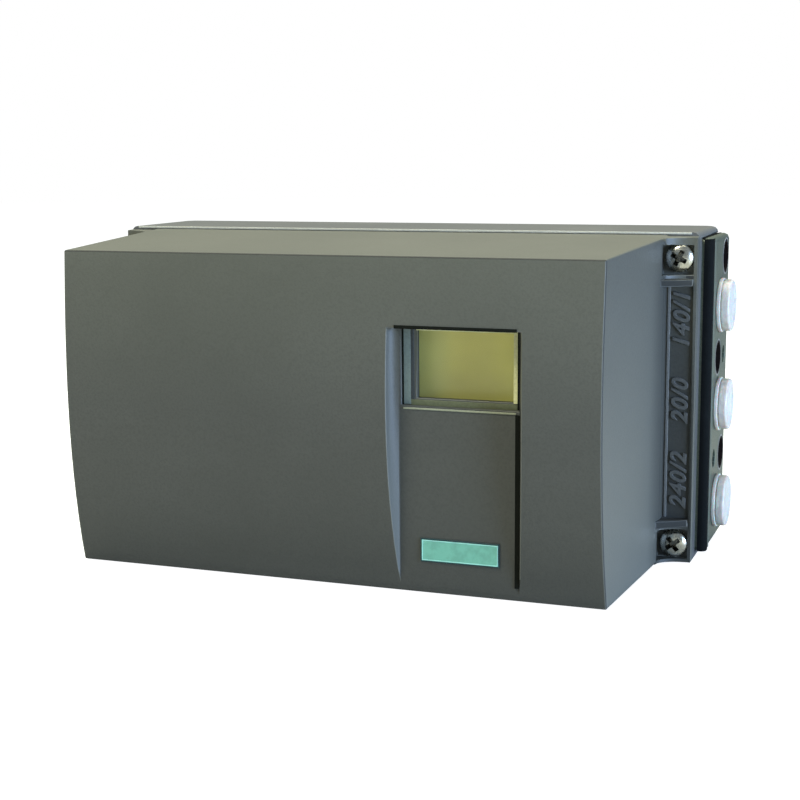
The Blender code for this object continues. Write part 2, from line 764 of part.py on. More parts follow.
def case_bosses():
    """Everything that stands on the case's walls inside."""
    inside = -HALF_WIDTH + OVERRUN
    into = WALL_INSIDE + OVERRUN
    bosses = [rod("boss", "Y", (SHAFT_X, SHAFT_Z), SHAFT_BOSS_RADIUS, BOSS_FRONT, into, ROUND_LARGE)]
    for centre in mount_centres():
        bosses.append(rod("boss", "Y", centre, MOUNT_BOSS, BOSS_FRONT, into))
    for centre in post_centres():
        bosses.append(rod("post", "Y", centre, POST_RADIUS, BOARD_REAR, into, ROUND_SMALL))
    for centre in terminal_centres():
        bosses.append(rod("boss", "Y", centre, POST_RADIUS, TERMINAL_REAR, into, ROUND_SMALL))
    depth = inside + CASE_WALL + ENTRY_BOSS_DEPTH
    for z in ENTRY_HEIGHTS:
        bosses.append(rod("boss", "X", (-ENTRY_REAR, z), ENTRY_BOSS, inside, depth, ROUND_LARGE))
    depth = inside + CASE_WALL + EARTH_BOSS_DEPTH
    bosses.append(rod("boss", "X", (-ENTRY_REAR, EARTH_Z), EARTH_BOSS, inside, depth, ROUND_SMALL))
    return bosses


def block_screw_centres():
    return [(-rear, BLOCK_MIDDLE + height) for rear, height in BLOCK_SCREWS]


def case_holes():
    """Holes in the case: shaft, inserts, cover screws, air ways, entries and small screws."""
    shaft = (SHAFT_X, SHAFT_Z)
    bush = SHAFT_RADIUS + RUNNING + BUSH_WALL + FIT
    holes = [rod("hole", "Y", shaft, bush, BOSS_FRONT - OVERRUN, OVERRUN, ROUND_LARGE)]
    seal = SHAFT_SEAL_RADIUS + FIT
    holes.append(rod("hole", "Y", shaft, seal, -SHAFT_SEAL_DEPTH, OVERRUN, ROUND_LARGE))
    for centre in mount_centres():
        holes.append(rod("hole", "Y", centre, MOUNT_HOLE, -MOUNT_HOLE_DEPTH, OVERRUN))
    for side in (-1, 1):
        for z in COVER_SCREW_HEIGHTS:
            centre = (side * COVER_SCREW_X, z)
            end = PARTING + COVER_SCREW_GRIP + FIT
            holes.append(rod("hole", "Y", centre, COVER_SCREW_SHANK + FIT, PARTING - OVERRUN, end))
    wall = (CAVITY_RIGHT - OVERRUN, POCKET_WALL + OVERRUN)
    for z in PORT_HEIGHTS:
        holes.append(rod("hole", "X", (PORT_Y, z), AIR_HOLE, *wall, ROUND_SMALL))
    for centre in block_screw_centres():
        radius = BLOCK_SCREW_SHANK + FIT
        holes.append(rod("hole", "X", centre, radius, CAVITY_RIGHT + OVERRUN, wall[1], ROUND_SMALL))
    outside = -HALF_WIDTH - OVERRUN
    depth = -HALF_WIDTH + CASE_WALL + ENTRY_BOSS_DEPTH + 2 * OVERRUN
    for z in ENTRY_HEIGHTS:
        holes.append(rod("hole", "X", (-ENTRY_REAR, z), ENTRY_RADIUS + FIT, outside, depth, ROUND_LARGE))
    silencer = SILENCER_RADIUS + FIT
    depth = -HALF_WIDTH + CASE_WALL + OVERRUN
    holes.append(rod("hole", "X", (-ENTRY_REAR, 0), silencer, outside, depth))
    depth = -HALF_WIDTH + EARTH_LENGTH + FIT
    holes.append(rod("hole", "X", (-ENTRY_REAR, EARTH_Z), EARTH_SHANK + FIT, outside, depth, ROUND_SMALL))
    for centre in terminal_centres():
        end = TERMINAL_FRONT + SMALL_LENGTH + FIT
        holes.append(rod("hole", "Y", centre, POST_SCREW + FIT, TERMINAL_REAR - OVERRUN, end, ROUND_SMALL))
    for centre in post_centres():
        end = BOARD_FRONT - MODULE_WALL + SMALL_LENGTH + FIT
        holes.append(rod("hole", "Y", centre, POST_SCREW + FIT, BOARD_REAR - OVERRUN, end, ROUND_SMALL))
    for centre in ear_centres():
        end = WALL_INSIDE + REAR_WALL / 2 + FIT
        holes.append(rod("hole", "Y", centre, POST_SCREW + FIT, WALL_INSIDE - OVERRUN, end, ROUND_SMALL))
    return holes


def rear_housing():
    """The case that everything hangs on, closed at the rear and open behind the cover."""
    case = case_block()
    cut(case, *case_hollows())
    join(case, *case_bosses())
    cut(case, *case_holes())
    cut(case, gasket_ring("groove", FIT / 2, PARTING - OVERRUN, PARTING + GASKET_DEPTH))
    return case


def cover_gasket():
    return gasket_ring("cover_gasket", -FIT / 2, PARTING, PARTING + GASKET_DEPTH)


# Terminal block and plugs


def terminal_block():
    """Drilled aluminium block with three ports, its screws and the threaded sockets."""
    block = box("terminal_block", (BLOCK_INSIDE, BLOCK_FACE),
                (-BLOCK_REAR - BLOCK_LENGTH, -BLOCK_REAR), BLOCK_SPAN)
    bevel(block, BLOCK_CORNER, 2)
    holes = []
    for z in PORT_HEIGHTS:
        centre = (PORT_Y, z)
        holes.append(rod("hole", "X", centre, PORT_RADIUS, BLOCK_FACE - PORT_DEPTH,
                         BLOCK_FACE + OVERRUN))
        holes.append(rod("hole", "X", centre, AIR_HOLE, BLOCK_INSIDE - OVERRUN, BLOCK_FACE, ROUND_SMALL))
    for rear, height in SOCKETS:
        centre = (-rear, BLOCK_MIDDLE + height)
        holes.append(rod("hole", "X", centre, SOCKET_RADIUS, BLOCK_FACE - SOCKET_DEPTH,
                         BLOCK_FACE + OVERRUN))
    for centre in block_screw_centres():
        holes.append(rod("hole", "X", centre, BLOCK_SCREW_RADIUS, BLOCK_FACE - BLOCK_SCREW_SEAT,
                         BLOCK_FACE + OVERRUN, ROUND_SMALL))
        radius = BLOCK_SCREW_SHANK + FIT
        holes.append(rod("hole", "X", centre, radius, BLOCK_INSIDE - OVERRUN, BLOCK_FACE, ROUND_SMALL))
    return cut(block, *holes)


def block_gasket():
    sheet = box("block_gasket", (POCKET_WALL, BLOCK_INSIDE),
                (-BLOCK_REAR - BLOCK_LENGTH, -BLOCK_REAR), BLOCK_SPAN)
    span = (POCKET_WALL - OVERRUN, BLOCK_INSIDE + OVERRUN)
    holes = [rod("hole", "X", (PORT_Y, z), AIR_HOLE, *span, ROUND_SMALL) for z in PORT_HEIGHTS]
    for centre in block_screw_centres():
        holes.append(rod("hole", "X", centre, BLOCK_SCREW_SHANK + FIT, *span, ROUND_SMALL))
    return cut(sheet, *holes)


def block_screws():
    seat = BLOCK_FACE - BLOCK_SCREW_SEAT
    length = seat - CAVITY_RIGHT - OVERRUN - FIT
    head = BLOCK_SCREW_RADIUS - FIT
    screws = []
    for number, centre in enumerate(block_screw_centres(), 1):
        screws.append(screw(f"block_screw_{number}", "X", centre, seat, head, SMALL_HEAD_HEIGHT,
                            BLOCK_SCREW_SHANK, length, 1))
    return screws


def port_plug(name, z):
    """A push-in cap that keeps a port clean until it is piped, with a hollow stem."""
    stem = PORT_RADIUS - RUNNING
    bore = stem - PLUG_WALL
    face = BLOCK_FACE + PLUG_HEAD
    tip = BLOCK_FACE - PLUG_STEM
    profile = [(bore * 0.3, BLOCK_FACE), (bore, BLOCK_FACE), (bore, tip), (stem, tip),
               (stem, BLOCK_FACE), (PLUG_RADIUS, BLOCK_FACE), (PLUG_RADIUS, face - PLUG_ROUND),
               (PLUG_RADIUS - PLUG_ROUND, face)]
    return turned(name, "X", (PORT_Y, z), profile, ROUND_LARGE)


# Feedback shaft and gear train


def involute(angle):
    return math.tan(angle) - angle


def gear_outline(teeth, centre, phase):
    """Spur gear outline with involute flanks, thinned by the backlash."""
    pitch = GEAR_MODULE * teeth / 2
    base = pitch * math.cos(PRESSURE_ANGLE)
    tip = pitch + ADDENDUM * GEAR_MODULE
    root = pitch - DEDENDUM * GEAR_MODULE
    radii = [root, pitch, tip] if root > base else [root, base, pitch, tip]
    half = (math.pi * GEAR_MODULE / 2 - BACKLASH) / (2 * pitch) + involute(PRESSURE_ANGLE)
    flank = [(r, half - involute(math.acos(min(1, base / r)))) for r in radii]
    outline = []
    for tooth in range(teeth):
        middle = phase + math.tau * tooth / teeth
        turns = [(r, middle - spread) for r, spread in flank]
        turns += [(r, middle + spread) for r, spread in reversed(flank)]
        for r, turn in turns:
            outline.append((centre[0] + r * math.cos(turn), centre[1] + r * math.sin(turn)))
    return outline


def feedback_shaft():
    """The stub shaft that the feedback lever clamps on, with its clamping flat."""
    centre = (SHAFT_X, SHAFT_Z)
    chamfer = SHAFT_RADIUS / 8
    front = GEAR_FRONT - OVERRUN
    profile = [(SHAFT_RADIUS, front), (SHAFT_RADIUS, SHAFT_LENGTH_OUT - chamfer),
               (SHAFT_RADIUS - chamfer, SHAFT_LENGTH_OUT)]
    shaft = turned("feedback_shaft", "Y", centre, profile, ROUND_LARGE)
    flat = SHAFT_Z + SHAFT_RADIUS - SHAFT_FLAT
    cutter = box("flat", (SHAFT_X - SHAFT_RADIUS, SHAFT_X + SHAFT_RADIUS),
                 (SHAFT_LENGTH_OUT - SHAFT_FLAT_LENGTH, SHAFT_LENGTH_OUT + OVERRUN),
                 (flat, flat + SHAFT_RADIUS))
    return cut(shaft, cutter)


def drive_gear():
    """The large gear on the shaft; a tooth points straight up into the pinion."""
    centre = (SHAFT_X, SHAFT_Z)
    outline = gear_outline(GEAR_TEETH, centre, math.pi / 2)
    gear = prism("drive_gear", "Y", outline, GEAR_FRONT, GEAR_REAR)
    hub = rod("hub", "Y", centre, GEAR_HUB_RADIUS, GEAR_FRONT + OVERRUN, HUB_REAR, ROUND_LARGE)
    join(gear, hub)
    bore = rod("bore", "Y", centre, SHAFT_RADIUS + RUNNING, GEAR_FRONT - OVERRUN,
               HUB_REAR + OVERRUN, ROUND_LARGE)
    reach = (GEAR_HUB_RADIUS + GEAR_MODULE * (GEAR_TEETH / 2 - DEDENDUM)) / 2
    holes = [rod("hole", "Y", hole, GEAR_HOLE, GEAR_FRONT - OVERRUN, GEAR_REAR + OVERRUN)
             for hole in circle(reach, 6, centre)]
    return cut(gear, bore, *holes)


def shaft_bush():
    bore = SHAFT_RADIUS + RUNNING
    outer = bore + BUSH_WALL
    rear = -SHAFT_SEAL_DEPTH - FIT
    profile = [(BUSH_FLANGE_RADIUS, BUSH_FRONT), (BUSH_FLANGE_RADIUS, BOSS_FRONT),
               (outer, BOSS_FRONT), (outer, rear), (bore, rear), (bore, BUSH_FRONT)]
    return turned("shaft_bush", "Y", (SHAFT_X, SHAFT_Z), profile, ROUND_LARGE, closed=True)


def shaft_seal():
    return ring("shaft_seal", "Y", (SHAFT_X, SHAFT_Z), SHAFT_RADIUS + RUNNING, SHAFT_SEAL_RADIUS,
                -SHAFT_SEAL_DEPTH, 0)


def shaft_circlip():
    """An open spring ring that keeps the shaft from moving out to the rear."""
    centre = (SHAFT_X, SHAFT_Z)
    rear = CIRCLIP_FRONT + CIRCLIP_THICKNESS
    clip = ring("shaft_circlip", "Y", centre, SHAFT_RADIUS + RUNNING, CIRCLIP_RADIUS,
                CIRCLIP_FRONT, rear)
    gap = box("gap", (SHAFT_X - SHAFT_RADIUS / 3, SHAFT_X + SHAFT_RADIUS / 3),
              (CIRCLIP_FRONT - OVERRUN, rear + OVERRUN), (SHAFT_Z - CIRCLIP_RADIUS * 2, SHAFT_Z))
    return cut(clip, gap)


def pot_pinion():
    """The pinion and its spindle; a tooth space faces down to the drive gear."""
    centre = (SHAFT_X, PINION_Z)
    phase = -math.pi / 2 + math.pi / PINION_TEETH
    pinion = prism("pot_pinion", "Y", gear_outline(PINION_TEETH, centre, phase), GEAR_FRONT,
                   GEAR_REAR)
    end = GEAR_REAR + CLUTCH_THICKNESS + 2 * OVERRUN
    spindle = rod("spindle", "Y", centre, SPINDLE_RADIUS, BRACKET_FRONT, end)
    return join(pinion, spindle)


def clutch_wheel():
    """The knurled wheel of the friction clutch, behind the pinion."""
    centre = (SHAFT_X, PINION_Z)
    front = GEAR_REAR + FIT
    outline = []
    for grip in range(CLUTCH_GRIPS):
        for step, radius in enumerate((CLUTCH_RADIUS, CLUTCH_RADIUS, CLUTCH_RADIUS - CLUTCH_GROOVE)):
            turn = math.tau * (grip + step / 3) / CLUTCH_GRIPS
            outline.append((centre[0] + radius * math.cos(turn), centre[1] + radius * math.sin(turn)))
    wheel = prism("clutch_wheel", "Y", outline, front, front + CLUTCH_THICKNESS)
    bore = rod("bore", "Y", centre, SPINDLE_RADIUS + RUNNING, front - OVERRUN,
               front + CLUTCH_THICKNESS + OVERRUN)
    return cut(wheel, bore)


def gear_bracket():
    """The plate on two pillars that carries the potentiometer over the pinion."""
    plate = box("gear_bracket", (SHAFT_X - BRACKET_HALF_WIDTH, SHAFT_X + BRACKET_HALF_WIDTH),
                (BRACKET_FRONT, BRACKET_REAR),
                (PINION_Z - BRACKET_HALF_HEIGHT, PINION_Z + BRACKET_HALF_HEIGHT))
    bevel(plate, BRACKET_CORNER, 2, 60)
    for centre in bracket_centres():
        join(plate, rod("pillar", "Y", centre, BRACKET_POST, BRACKET_FRONT + OVERRUN, WALL_INSIDE))
    hole = rod("hole", "Y", (SHAFT_X, PINION_Z), SPINDLE_RADIUS + RUNNING,
               BRACKET_FRONT - OVERRUN, BRACKET_REAR + OVERRUN)
    cut(plate, hole)
    for centre in bracket_centres():
        end = BRACKET_FRONT + SMALL_LENGTH + FIT
        cut(plate, rod("hole", "Y", centre, POST_SCREW + FIT, BRACKET_FRONT - OVERRUN, end, ROUND_SMALL))
    return plate


def bracket_centres():
    z = PINION_Z + BRACKET_POST_Z
    return [(SHAFT_X - BRACKET_POST_X, z), (SHAFT_X + BRACKET_POST_X, z)]


def bracket_screws():
    screws = []
    for number, centre in enumerate(bracket_centres(), 1):
        screws.append(small_screw(f"bracket_screw_{number}", centre, BRACKET_FRONT))
    return screws


def potentiometer():
    """The round potentiometer in front of the bracket, with three solder tags."""
    centre = (SHAFT_X, PINION_Z)
    front = BRACKET_FRONT - POT_DEPTH
    body = rod("potentiometer", "Y", centre, POT_RADIUS, front, BRACKET_FRONT, ROUND_LARGE)
    for step in (-1, 0, 1):
        x = centre[0] + step * POT_RADIUS * 0.4
        tag = box("tag", (x - TAG_WIDTH / 2, x + TAG_WIDTH / 2),
                  (front + TAG_SETBACK, front + TAG_SETBACK + TAG_THICKNESS),
                  (PINION_Z - POT_RADIUS - TAG_LENGTH, PINION_Z - POT_RADIUS * 0.8))
        join(body, tag)
    bore = rod("bore", "Y", centre, SPINDLE_RADIUS + RUNNING, BRACKET_FRONT - OVERRUN,
               BRACKET_FRONT + OVERRUN)
    return cut(body, bore)


# Air manifold


def ear_centres():
    """Fixing holes in the manifold's upper and lower ear."""
    middle = MANIFOLD_EAR / 2
    return [(MANIFOLD_MIDDLE, MANIFOLD_LOW - middle), (MANIFOLD_MIDDLE, MANIFOLD_HIGH + middle)]


def valve_manifold():
    """The air block that joins the ports to the pilot valves, with two fixing ears."""
    x = (MANIFOLD_LEFT, CAVITY_RIGHT)
    block = box("valve_manifold", x, (MANIFOLD_FRONT, WALL_INSIDE), (MANIFOLD_LOW, MANIFOLD_HIGH))
    narrow = (MANIFOLD_MIDDLE - MANIFOLD_WIDTH / 3, MANIFOLD_MIDDLE + MANIFOLD_WIDTH / 3)
    z = (MANIFOLD_LOW - MANIFOLD_EAR, MANIFOLD_HIGH + MANIFOLD_EAR)
    join(block, box("ears", narrow, (WALL_INSIDE - MANIFOLD_EAR_THICKNESS, WALL_INSIDE), z))
    holes = []
    for centre in ear_centres():
        start = WALL_INSIDE - MANIFOLD_EAR_THICKNESS - OVERRUN
        holes.append(rod("hole", "Y", centre, POST_SCREW + FIT, start, WALL_INSIDE + OVERRUN,
                         ROUND_SMALL))
    for z in PORT_HEIGHTS:
        holes.append(rod("hole", "X", (PORT_Y, z), AIR_HOLE, CAVITY_RIGHT - MANIFOLD_WIDTH / 2,
                         CAVITY_RIGHT + OVERRUN, ROUND_SMALL))
    for z in RESTRICTOR_CENTRES:
        radius = RESTRICTOR_SHANK + RUNNING
        end = MANIFOLD_FRONT + RESTRICTOR_LENGTH + FIT
        holes.append(rod("hole", "Y", (MANIFOLD_MIDDLE, z), radius, MANIFOLD_FRONT - OVERRUN,
                         end, ROUND_SMALL))
    left = MANIFOLD_MIDDLE - PURGE_LENGTH / 2 - RUNNING
    right = MANIFOLD_MIDDLE + PURGE_LENGTH / 2 + PURGE_TRAVEL + RUNNING
    half = PURGE_WIDTH / 4 + RUNNING
    holes.append(box("slot", (left, right), (MANIFOLD_FRONT - OVERRUN,
                                             MANIFOLD_FRONT + PURGE_TONGUE + FIT),
                     (PURGE_Z - half, PURGE_Z + half)))
    return cut(block, *holes)


def manifold_screws():
    seat = WALL_INSIDE - MANIFOLD_EAR_THICKNESS
    length = MANIFOLD_EAR_THICKNESS + REAR_WALL / 2
    screws = []
    for number, centre in enumerate(ear_centres(), 1):
        screws.append(screw(f"manifold_screw_{number}", "Y", centre, seat, MANIFOLD_EAR / 2,
                            SMALL_HEAD_HEIGHT, POST_SCREW, length))
    return screws


def pilot_valve(name, z):
    """A pilot valve: a square foot on the manifold with its round coil."""
    x = (MANIFOLD_MIDDLE - PILOT_WIDTH / 2, MANIFOLD_MIDDLE + PILOT_WIDTH / 2)
    foot_front = MANIFOLD_FRONT - PILOT_DEPTH / 3
    foot = box(name, x, (foot_front, MANIFOLD_FRONT), (z - PILOT_HEIGHT / 2, z + PILOT_HEIGHT / 2))
    coil = rod("coil", "Y", (MANIFOLD_MIDDLE, z), PILOT_COIL, MANIFOLD_FRONT - PILOT_DEPTH,
               MANIFOLD_FRONT - OVERRUN)
    return join(foot, coil)


def restrictor(name, z):
    """A slotted screw that throttles one of the two air outputs."""
    item = screw(name, "Y", (MANIFOLD_MIDDLE, z), MANIFOLD_FRONT, RESTRICTOR_HEAD,
                 RESTRICTOR_HEAD_HEIGHT, RESTRICTOR_SHANK, RESTRICTOR_LENGTH)
    top = MANIFOLD_FRONT - RESTRICTOR_HEAD_HEIGHT
    slot = RESTRICTOR_HEAD_HEIGHT / 2
    reach = RESTRICTOR_HEAD + OVERRUN
    return cut(item, box("slot", (MANIFOLD_MIDDLE - reach, MANIFOLD_MIDDLE + reach),
                         (top - OVERRUN, top + slot), (z - slot / 3, z + slot / 3)))


def purge_selector():
    """The little slider that switches the purge air on."""
    x = (MANIFOLD_MIDDLE - PURGE_LENGTH / 2, MANIFOLD_MIDDLE + PURGE_LENGTH / 2)
    half, tongue = PURGE_WIDTH / 2, PURGE_WIDTH / 4
    knob = box("purge_selector", x, (MANIFOLD_FRONT - PURGE_KNOB, MANIFOLD_FRONT - RUNNING),
               (PURGE_Z - half, PURGE_Z + half))
    foot = box("foot", x, (MANIFOLD_FRONT - PURGE_KNOB / 2, MANIFOLD_FRONT + PURGE_TONGUE),
               (PURGE_Z - tongue, PURGE_Z + tongue))
    return join(knob, foot)


# Electronics


def main_board():
    """The circuit board behind the module, screwed to the four posts."""
    margin = POST_RADIUS + SMALL_HEAD / 2
    board = box("main_board", (MODULE_LEFT, MODULE_RIGHT), (BOARD_FRONT, BOARD_REAR),
                (-POST_Z - margin, POST_Z + margin))
    holes = []
    for centre in post_centres():
        holes.append(rod("hole", "Y", centre, POST_SCREW + FIT, BOARD_FRONT - OVERRUN,
                         BOARD_REAR + OVERRUN, ROUND_SMALL))
    return cut(board, *holes)


def module_ear(x, z):
    """A screw ear on the long side of the module, in front of a post."""
    edge = MODULE_HIGH if z > 0 else MODULE_LOW
    inner = edge - math.copysign(MODULE_WALL / 2, z)
    outer = z + math.copysign(MODULE_EAR / 2, z)
    return box("ear", (x - MODULE_EAR / 2, x + MODULE_EAR / 2),
               (BOARD_FRONT - MODULE_WALL, BOARD_FRONT + OVERRUN), sorted((inner, outer)))


def module_case():
    """The box over the electronics: thin walls, four screw ears, three key holes."""
    x, z = (MODULE_LEFT, MODULE_RIGHT), (MODULE_LOW, MODULE_HIGH)
    case = bevel(box("module_case", x, (MODULE_FRONT, BOARD_FRONT + 3 * OVERRUN), z), OVERRUN)
    join(case, *[module_ear(*centre) for centre in post_centres()])
    reach = POST_Z + MODULE_EAR
    trim = box("trim", (x[0] - OVERRUN, x[1] + OVERRUN), (BOARD_FRONT, BOARD_FRONT + 5 * OVERRUN),
               (-reach, reach))
    hollow = box("hollow", (x[0] + MODULE_WALL, x[1] - MODULE_WALL),
                 (MODULE_INSIDE, BOARD_FRONT + OVERRUN), (z[0] + MODULE_WALL, z[1] - MODULE_WALL))
    cut(case, trim, hollow)
    for centre in post_centres():
        cut(case, rod("hole", "Y", centre, POST_SCREW + FIT, BOARD_FRONT - 2 * MODULE_WALL,
                      BOARD_FRONT + OVERRUN, ROUND_SMALL))
    for x in key_places():
        cut(case, rod("hole", "Y", (x, KEY_Z), KEY_RADIUS + RUNNING, MODULE_FRONT - OVERRUN,
                      MODULE_INSIDE + OVERRUN))
    for x, z in key_board_centres():
        join(case, rod("stud", "Y", (x, z), POST_SCREW, MODULE_INSIDE - OVERRUN, KEY_BOARD_FRONT,
                       ROUND_SMALL))
    return case


def key_places():
    return [KEY_X + KEY_SPACING * step for step in (-1, 0, 1)]


def key_board_centres():
    reach = KEY_SPACING + KEY_BOARD_MARGIN - POST_SCREW
    return [(KEY_X - reach, KEY_Z), (KEY_X + reach, KEY_Z)]


def key_board():
    reach = KEY_SPACING + KEY_BOARD_MARGIN
    return box("key_board", (KEY_X - reach, KEY_X + reach),
               (KEY_BOARD_FRONT, KEY_BOARD_FRONT + BOARD_THICKNESS),
               (KEY_Z - KEY_BOARD_MARGIN, KEY_Z + KEY_BOARD_MARGIN))


def key(name, x):
    """A push key held behind the module's front by its flange."""
    flange = MODULE_INSIDE + RUNNING
    front = MODULE_FRONT - KEY_PROUD
    profile = [(KEY_RADIUS * 0.8, front), (KEY_RADIUS, front + KEY_RADIUS * 0.2),
               (KEY_RADIUS, flange), (KEY_FLANGE, flange),
               (KEY_FLANGE, flange + KEY_FLANGE_THICKNESS)]
    return turned(name, "Y", (x, KEY_Z), profile)


def module_screws():
    screws = []
    for number, centre in enumerate(post_centres(), 1):
        screws.append(small_screw(f"module_screw_{number}", centre, BOARD_FRONT - MODULE_WALL))
    return screws


def display_span(margin):
    """The display's width and height with a margin round the cover's window."""
    x = (WINDOW_LEFT - margin, WINDOW_RIGHT + margin)
    return x, (WINDOW_LOW - margin, WINDOW_HIGH + margin)


def display_frame():
    x, z = display_span(DISPLAY_MARGIN + DISPLAY_FRAME)
    front = MODULE_FRONT - DISPLAY_DEPTH
    frame = bevel(box("display_frame", x, (front, MODULE_FRONT), z), DISPLAY_FRAME / 5, 1)
    x, z = display_span(DISPLAY_MARGIN)
    return cut(frame, box("hole", x, (front - OVERRUN, MODULE_FRONT + OVERRUN), z))


def display_glass():
    x, z = display_span(DISPLAY_MARGIN - FIT)
    return box("display_glass", x, (MODULE_FRONT - DISPLAY_GLASS, MODULE_FRONT), z)


# Wiring terminals


def terminal_board():
    margin = TERMINAL_MARGIN
    board = box("terminal_board", (STRIP_LEFT - margin / 2, STRIP_RIGHT + margin / 2),
                (TERMINAL_FRONT, TERMINAL_REAR),
                (STRIP_LOW - margin, STRIP_LOW + STRIP_HEIGHT + margin))
    holes = []
    for centre in terminal_centres():
        holes.append(rod("hole", "Y", centre, POST_SCREW + FIT, TERMINAL_FRONT - OVERRUN,
                         TERMINAL_REAR + OVERRUN, ROUND_SMALL))
    return cut(board, *holes)


def terminal_board_screws():
    screws = []
    for number, centre in enumerate(terminal_centres(), 1):
        screws.append(small_screw(f"terminal_board_screw_{number}", centre, TERMINAL_FRONT))
    return screws


def strip_ways():
    return [STRIP_LEFT + STRIP_PITCH * (way + 0.5) for way in range(STRIP_WAYS)]


def terminal_strip():
    """The screw terminals: a wire hole below each way and its clamp screw in front."""
    front = TERMINAL_FRONT - STRIP_DEPTH
    high = STRIP_LOW + STRIP_HEIGHT
    strip = box("terminal_strip", (STRIP_LEFT + FIT, STRIP_RIGHT - FIT), (front, TERMINAL_FRONT),
                (STRIP_LOW, high))
    holes = []
    for x in strip_ways():
        wire = (x, TERMINAL_FRONT - STRIP_DEPTH / 3)
        holes.append(rod("hole", "Z", wire, WIRE_HOLE, STRIP_LOW - OVERRUN,
                         STRIP_LOW + STRIP_HEIGHT / 2, ROUND_SMALL))
        screw_place = (x, high - STRIP_HEIGHT / 3)
        holes.append(rod("hole", "Y", screw_place, TERMINAL_SCREW + FIT, front - OVERRUN,
                         front + STRIP_DEPTH / 3, ROUND_SMALL))
    cut(strip, *holes)
    for x in strip_ways():
        place = (x, high - STRIP_HEIGHT / 3)
        join(strip, rod("clamp", "Y", place, TERMINAL_SCREW, front + OVERRUN / 2,
                        front + STRIP_DEPTH / 3 + OVERRUN, ROUND_SMALL))
    return strip


# Left side


def blanking_plug(name, z):
    """A hexagonal plug that closes a cable entry."""
    seat = -HALF_WIDTH - ENTRY_SEAL
    outer = seat - ENTRY_HEAD_THICKNESS
    head = prism(name, "X", circle(ENTRY_HEAD, 6, (-ENTRY_REAR, z)), outer, seat)
    end = -HALF_WIDTH + CASE_WALL + ENTRY_BOSS_DEPTH
    stem = rod("stem", "X", (-ENTRY_REAR, z), ENTRY_RADIUS, seat - OVERRUN, end, ROUND_LARGE)
    hollow = rod("hollow", "X", (-ENTRY_REAR, z), ENTRY_RADIUS * 0.75, seat + OVERRUN,
                 end + OVERRUN, ROUND)
    return cut(join(head, stem), hollow)


def entry_seal(name, z):
    inner = ENTRY_RADIUS + FIT
    return ring(name, "X", (-ENTRY_REAR, z), inner, inner + ENTRY_SEAL_WIDTH,
                -HALF_WIDTH - ENTRY_SEAL, -HALF_WIDTH)


def exhaust_silencer():
    outside = -HALF_WIDTH - SILENCER_HEAD_THICKNESS
    profile = [(SILENCER_RADIUS, -HALF_WIDTH + CASE_WALL), (SILENCER_RADIUS, -HALF_WIDTH),
               (SILENCER_HEAD, -HALF_WIDTH), (SILENCER_HEAD, outside)]
    return turned("exhaust_silencer", "X", (-ENTRY_REAR, 0), profile)


def earth_screw():
    return screw("earth_screw", "X", (-ENTRY_REAR, EARTH_Z), -HALF_WIDTH, EARTH_HEAD,
                 EARTH_HEAD_HEIGHT, EARTH_SHANK, EARTH_LENGTH)


